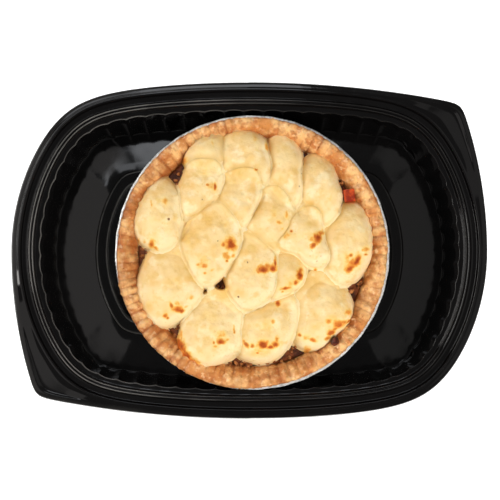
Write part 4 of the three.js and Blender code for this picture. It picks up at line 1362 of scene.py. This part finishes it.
class PIE_OT_potato(bpy.types.Operator):
    """Lays the dollops of mashed potato over each other, with their creases and the painted shade in them,
    scorches and small holes
    """
    bl_idname = "pie.make_potato"
    bl_label = "Piped Potato"

    def execute(self, context):
        settings = context.scene.pie_potato
        finish = potato_material(settings)
        laid = [Dollop(number, settings.wobble) for number in LAID]
        for i, dollop in enumerate(laid):
            dollop.settle(laid[:i])
        for i, dollop in enumerate(laid):
            piece = self.lay(dollop, laid[:i], laid[i + 1:])
            piece.data.materials.append(finish)
            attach(piece, "root")
            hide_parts(f"potato_dollop_{dollop.number:02d}")
        return {"FINISHED"}

    def lay(self, dollop, lower, upper):
        """One dollop on the ones laid before it, with painted shade in the creases where later ones lie on
        it.
        """
        angle = np.linspace(0, 2 * pi, DOLLOP_SAMPLES, endpoint=False)
        crown = 1 - np.linspace(1, 0, TOP_ROWS)[1:] ** 1.55
        shares = np.concatenate([crown, np.linspace(1.01, FOOT_SHARE, FOOT_ROWS)])
        share, around = np.meshgrid(shares, angle, indexing="ij")
        reach = 0.4 + 0.6 * closed(*dollop.place(share, around))
        share = np.where(share > 1, 1 + (share - 1) * reach, share)
        x, y = dollop.place(share, around)
        below = surface(lower, x, y)
        height = dollop.over(x, y, below)
        bare = step_up(1.5, 0.2, below - FILLING_HEIGHT)
        start = 0.10 * closed(x, y) * step_up(0.0, 0.8, POTATO_BASE + FOOT_HEIGHT - below)
        height = height - step_up(0.0, 0.07, share - 1 - start) * (0.3 + 1.6 * bare)
        height = height + layered(dollop.spot(x, y), POTATO_GRAIN) * step_up(1.04, 0.98, share)
        height = height - GAP_DROP * open_gap(x, y) * step_up(0.96, 1.03, share)
        values = self.marks(dollop, upper, x, y, share)
        height = height - PIT_DEPTH * values["pit"] * step_up(1.0, 0.9, share)
        inside = np.minimum(1, (INNER_EDGE + 1.5) / np.maximum(np.hypot(x, y), 1))
        x, y = x * inside, y * inside
        under = beneath(np.minimum(below - 0.35, height - 0.3))
        rings = np.concatenate([
            np.stack([x, y, height], axis=-1), np.stack([beneath(x), beneath(y), under], axis=-1)])
        rings[..., :2] += PIE_MIDDLE
        values = {label: np.concatenate([value, beneath(value)]) for label, value in values.items()}
        middle = rings[0].mean(axis=0)
        poles = [middle, (*middle[:2], under[-1].mean())]
        return ring_piece(f"potato_{dollop.number:02d}", rings, poles, values)

    @staticmethod
    def marks(dollop, upper, x, y, share):
        """How toasted, scorched and holed the dollop is at each of its points, with painted shade towards its
        upper left and in its creases, and painted light on its lower-right rim.
        """
        spot = np.stack([x, y, np.zeros_like(x)], axis=-1)
        dx, dy = x - dollop.x, y - dollop.y
        # Painted light and shade: the rim facing the lower right is painted pale, and the dollop darker
        # towards its upper left. Patches of real toasting come on top.
        forward = (dx * 0.45 - dy * 0.89) / dollop.free
        outward = (dx * 0.80 - dy * 0.60) / np.maximum(np.hypot(dx, dy), 1)
        pale = step_up(0.66, 0.96, share) * step_up(-0.35, 0.45, outward)
        toast = 0.62 - 0.22 * forward - 0.9 * pale
        toast = np.clip(toast + layered(spot, TOASTED_PATCHES), 0, 1)
        # Painted shade in the creases: along the dollop's own edge, less on its pale lit rim, and next to
        # each dollop that lies on it.
        crease = 0.40 * step_up(0.92, 1.0, share) * (1 - 0.6 * pale) * step_up(1.10, 1.0, share)
        for other in upper:
            beyond = (other.locate(x, y)[0] - 1) * other.half_wide
            crease = np.maximum(crease, 0.62 * np.exp(-(np.maximum(beyond, 0) / 2.1) ** 2))
        scorch, pit = np.zeros_like(x), np.zeros_like(x)
        for mark in SCORCHES.get(dollop.number, []):
            scorch = np.maximum(scorch, blotch(x, y, mark))
        for middle_x, middle_y, radius in PITS.get(dollop.number, []):
            away = np.hypot(x - middle_x, y - middle_y) / radius
            pit = np.maximum(pit, step_up(1.0, 0.4, away))
        return {"toast": toast, "crease": crease, "scorch": scorch, "pit": pit}


# ---- Loose pieces at the crust ----

def rough_copy(name, node, lump, finish, rounds):
    """A roughened copy of a small piece of the model, its edges softened by rounds of smoothing."""
    piece = placed(name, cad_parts[node].data.copy())
    weld = piece.modifiers.new("Weld", "WELD")
    weld.merge_threshold = WELD_DISTANCE
    remesh = piece.modifiers.new("Remesh", "REMESH")
    remesh.mode = "VOXEL"
    remesh.voxel_size = VOXEL
    smooth = piece.modifiers.new("Smooth", "SMOOTH")
    smooth.iterations = rounds
    mesh = made_plain(piece)
    points = np.empty(len(mesh.vertices) * 3, np.float32)
    mesh.vertices.foreach_get("co", points)
    normals = np.array([vertex.normal for vertex in mesh.vertices])
    points = points.reshape(-1, 3) / MM
    points += normals * (lump * layered(points, CRUMB_LUMPS))[:, None]
    mesh.vertices.foreach_set("co", (points * MM).astype(np.float32).ravel())
    mesh.materials.clear()
    mesh.materials.append(finish)
    mesh.update()
    mesh.shade_smooth()
    return piece


class PIE_OT_loose(bpy.types.Operator):
    """Makes the carrot die and the crumb of mince that lie against the crust"""
    bl_idname = "pie.make_loose"
    bl_label = "Carrot and Crumb"

    def execute(self, context):
        carrot = rough_copy("carrot_piece", "carrot_die", 0.12, carrot_material(), 4)
        browned = mince_material("browned_meat", srgb(52, 16, 8), srgb(104, 40, 20))
        crumb = rough_copy("mince_piece", "mince_crumb", 0.35, browned, 2)
        for piece, node, slot in ((carrot, "carrot_die", "carrot"), (crumb, "mince_crumb", "meat_filling")):
            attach(piece, "root")
            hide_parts(node)
        return {"FINISHED"}


# ---- Stage ----

def area_light(name, power, place, size, colour, mirrored):
    """A soft lamp that shines at the pie. One that isn't mirrored lights the food, and no gloss shows it."""
    light = bpy.data.lights.new(name, "AREA")
    light.shape = "RECTANGLE"
    light.size, light.size_y = size
    light.energy = power
    light.color = colour
    lamp = placed(name, light)
    lamp.location = place
    way = np.array(LAMP_TARGET) - np.array(place)
    lamp.rotation_euler = Vector(way).to_track_quat("-Z", "Y").to_euler()
    lamp.visible_glossy = mirrored


class PIE_OT_stage(bpy.types.Operator):
    """Makes the pale floor, the soft lights and the camera over the tray"""
    bl_idname = "pie.make_stage"
    bl_label = "Stage"

    def execute(self, context):
        settings = context.scene.pie_stage
        scene = context.scene
        self.floor()
        world = bpy.data.worlds.new("Studio")
        world.use_nodes = True
        sky = world.node_tree.nodes["Background"].inputs
        sky["Color"].default_value = (1, 1, 1, 1)
        sky["Strength"].default_value = settings.sky
        scene.world = world
        for name, (setting, *lamp) in LAMPS.items():
            area_light(name, getattr(settings, setting), *lamp)
        camera = placed("camera", bpy.data.cameras.new("camera"))
        x, y, z = CAMERA_TARGET
        back, up = cos(settings.elevation), sin(settings.elevation)
        camera.location = (x, y - settings.distance * back, z + settings.distance * up)
        camera.rotation_euler = (pi / 2 - settings.elevation, 0, 0)
        camera.data.lens = LENS
        scene.camera = camera
        scene.view_settings.view_transform = "Standard"
        return {"FINISHED"}

    @staticmethod
    def floor():
        mesh = bpy.data.meshes.new("floor")
        corners = [(x * FLOOR_REACH, y * FLOOR_REACH, FLOOR_HEIGHT) for x, y in (
            (-1, -1), (1, -1), (1, 1), (-1, 1))]
        mesh.from_pydata(corners, [], [(0, 1, 2, 3)])
        material = new_material(
            "pale_floor", Base_Color=(0.92, 0.92, 0.92, 1), Roughness=0.9, Emission_Color=(1, 1, 1, 1),
            Emission_Strength=0.85)[0]
        mesh.materials.append(material)
        piece = placed("floor", mesh)


# ---- Panel and run ----

OPERATORS = (
    PIE_OT_tray, PIE_OT_tin, PIE_OT_pastry, PIE_OT_filling, PIE_OT_potato, PIE_OT_loose, PIE_OT_stage)


class PIE_PT_panel(bpy.types.Panel):
    """Lists the pieces of the pie and their settings"""
    bl_label = "Shepherd's Pie"
    bl_idname = "PIE_PT_panel"
    bl_space_type = "VIEW_3D"
    bl_region_type = "UI"
    bl_category = "Pie"

    def draw(self, context):
        for operator in OPERATORS:
            self.layout.operator(operator.bl_idname)
        for label, group in GROUPS.items():
            box = self.layout.box()
            for name in group.__annotations__:
                box.prop(getattr(context.scene, label), name)


def register():
    for kind in (*GROUPS.values(), *OPERATORS, PIE_PT_panel):
        bpy.utils.register_class(kind)
    for label, group in GROUPS.items():
        setattr(bpy.types.Scene, label, PointerProperty(type=group))


def unregister():
    for label in GROUPS:
        delattr(bpy.types.Scene, label)
    for kind in reversed((*GROUPS.values(), *OPERATORS, PIE_PT_panel)):
        bpy.utils.unregister_class(kind)


def main():
    register()
    for operator in OPERATORS:
        module, name = operator.bl_idname.split(".")
        getattr(getattr(bpy.ops, module), name)()


if __name__ == "__main__":
    main()
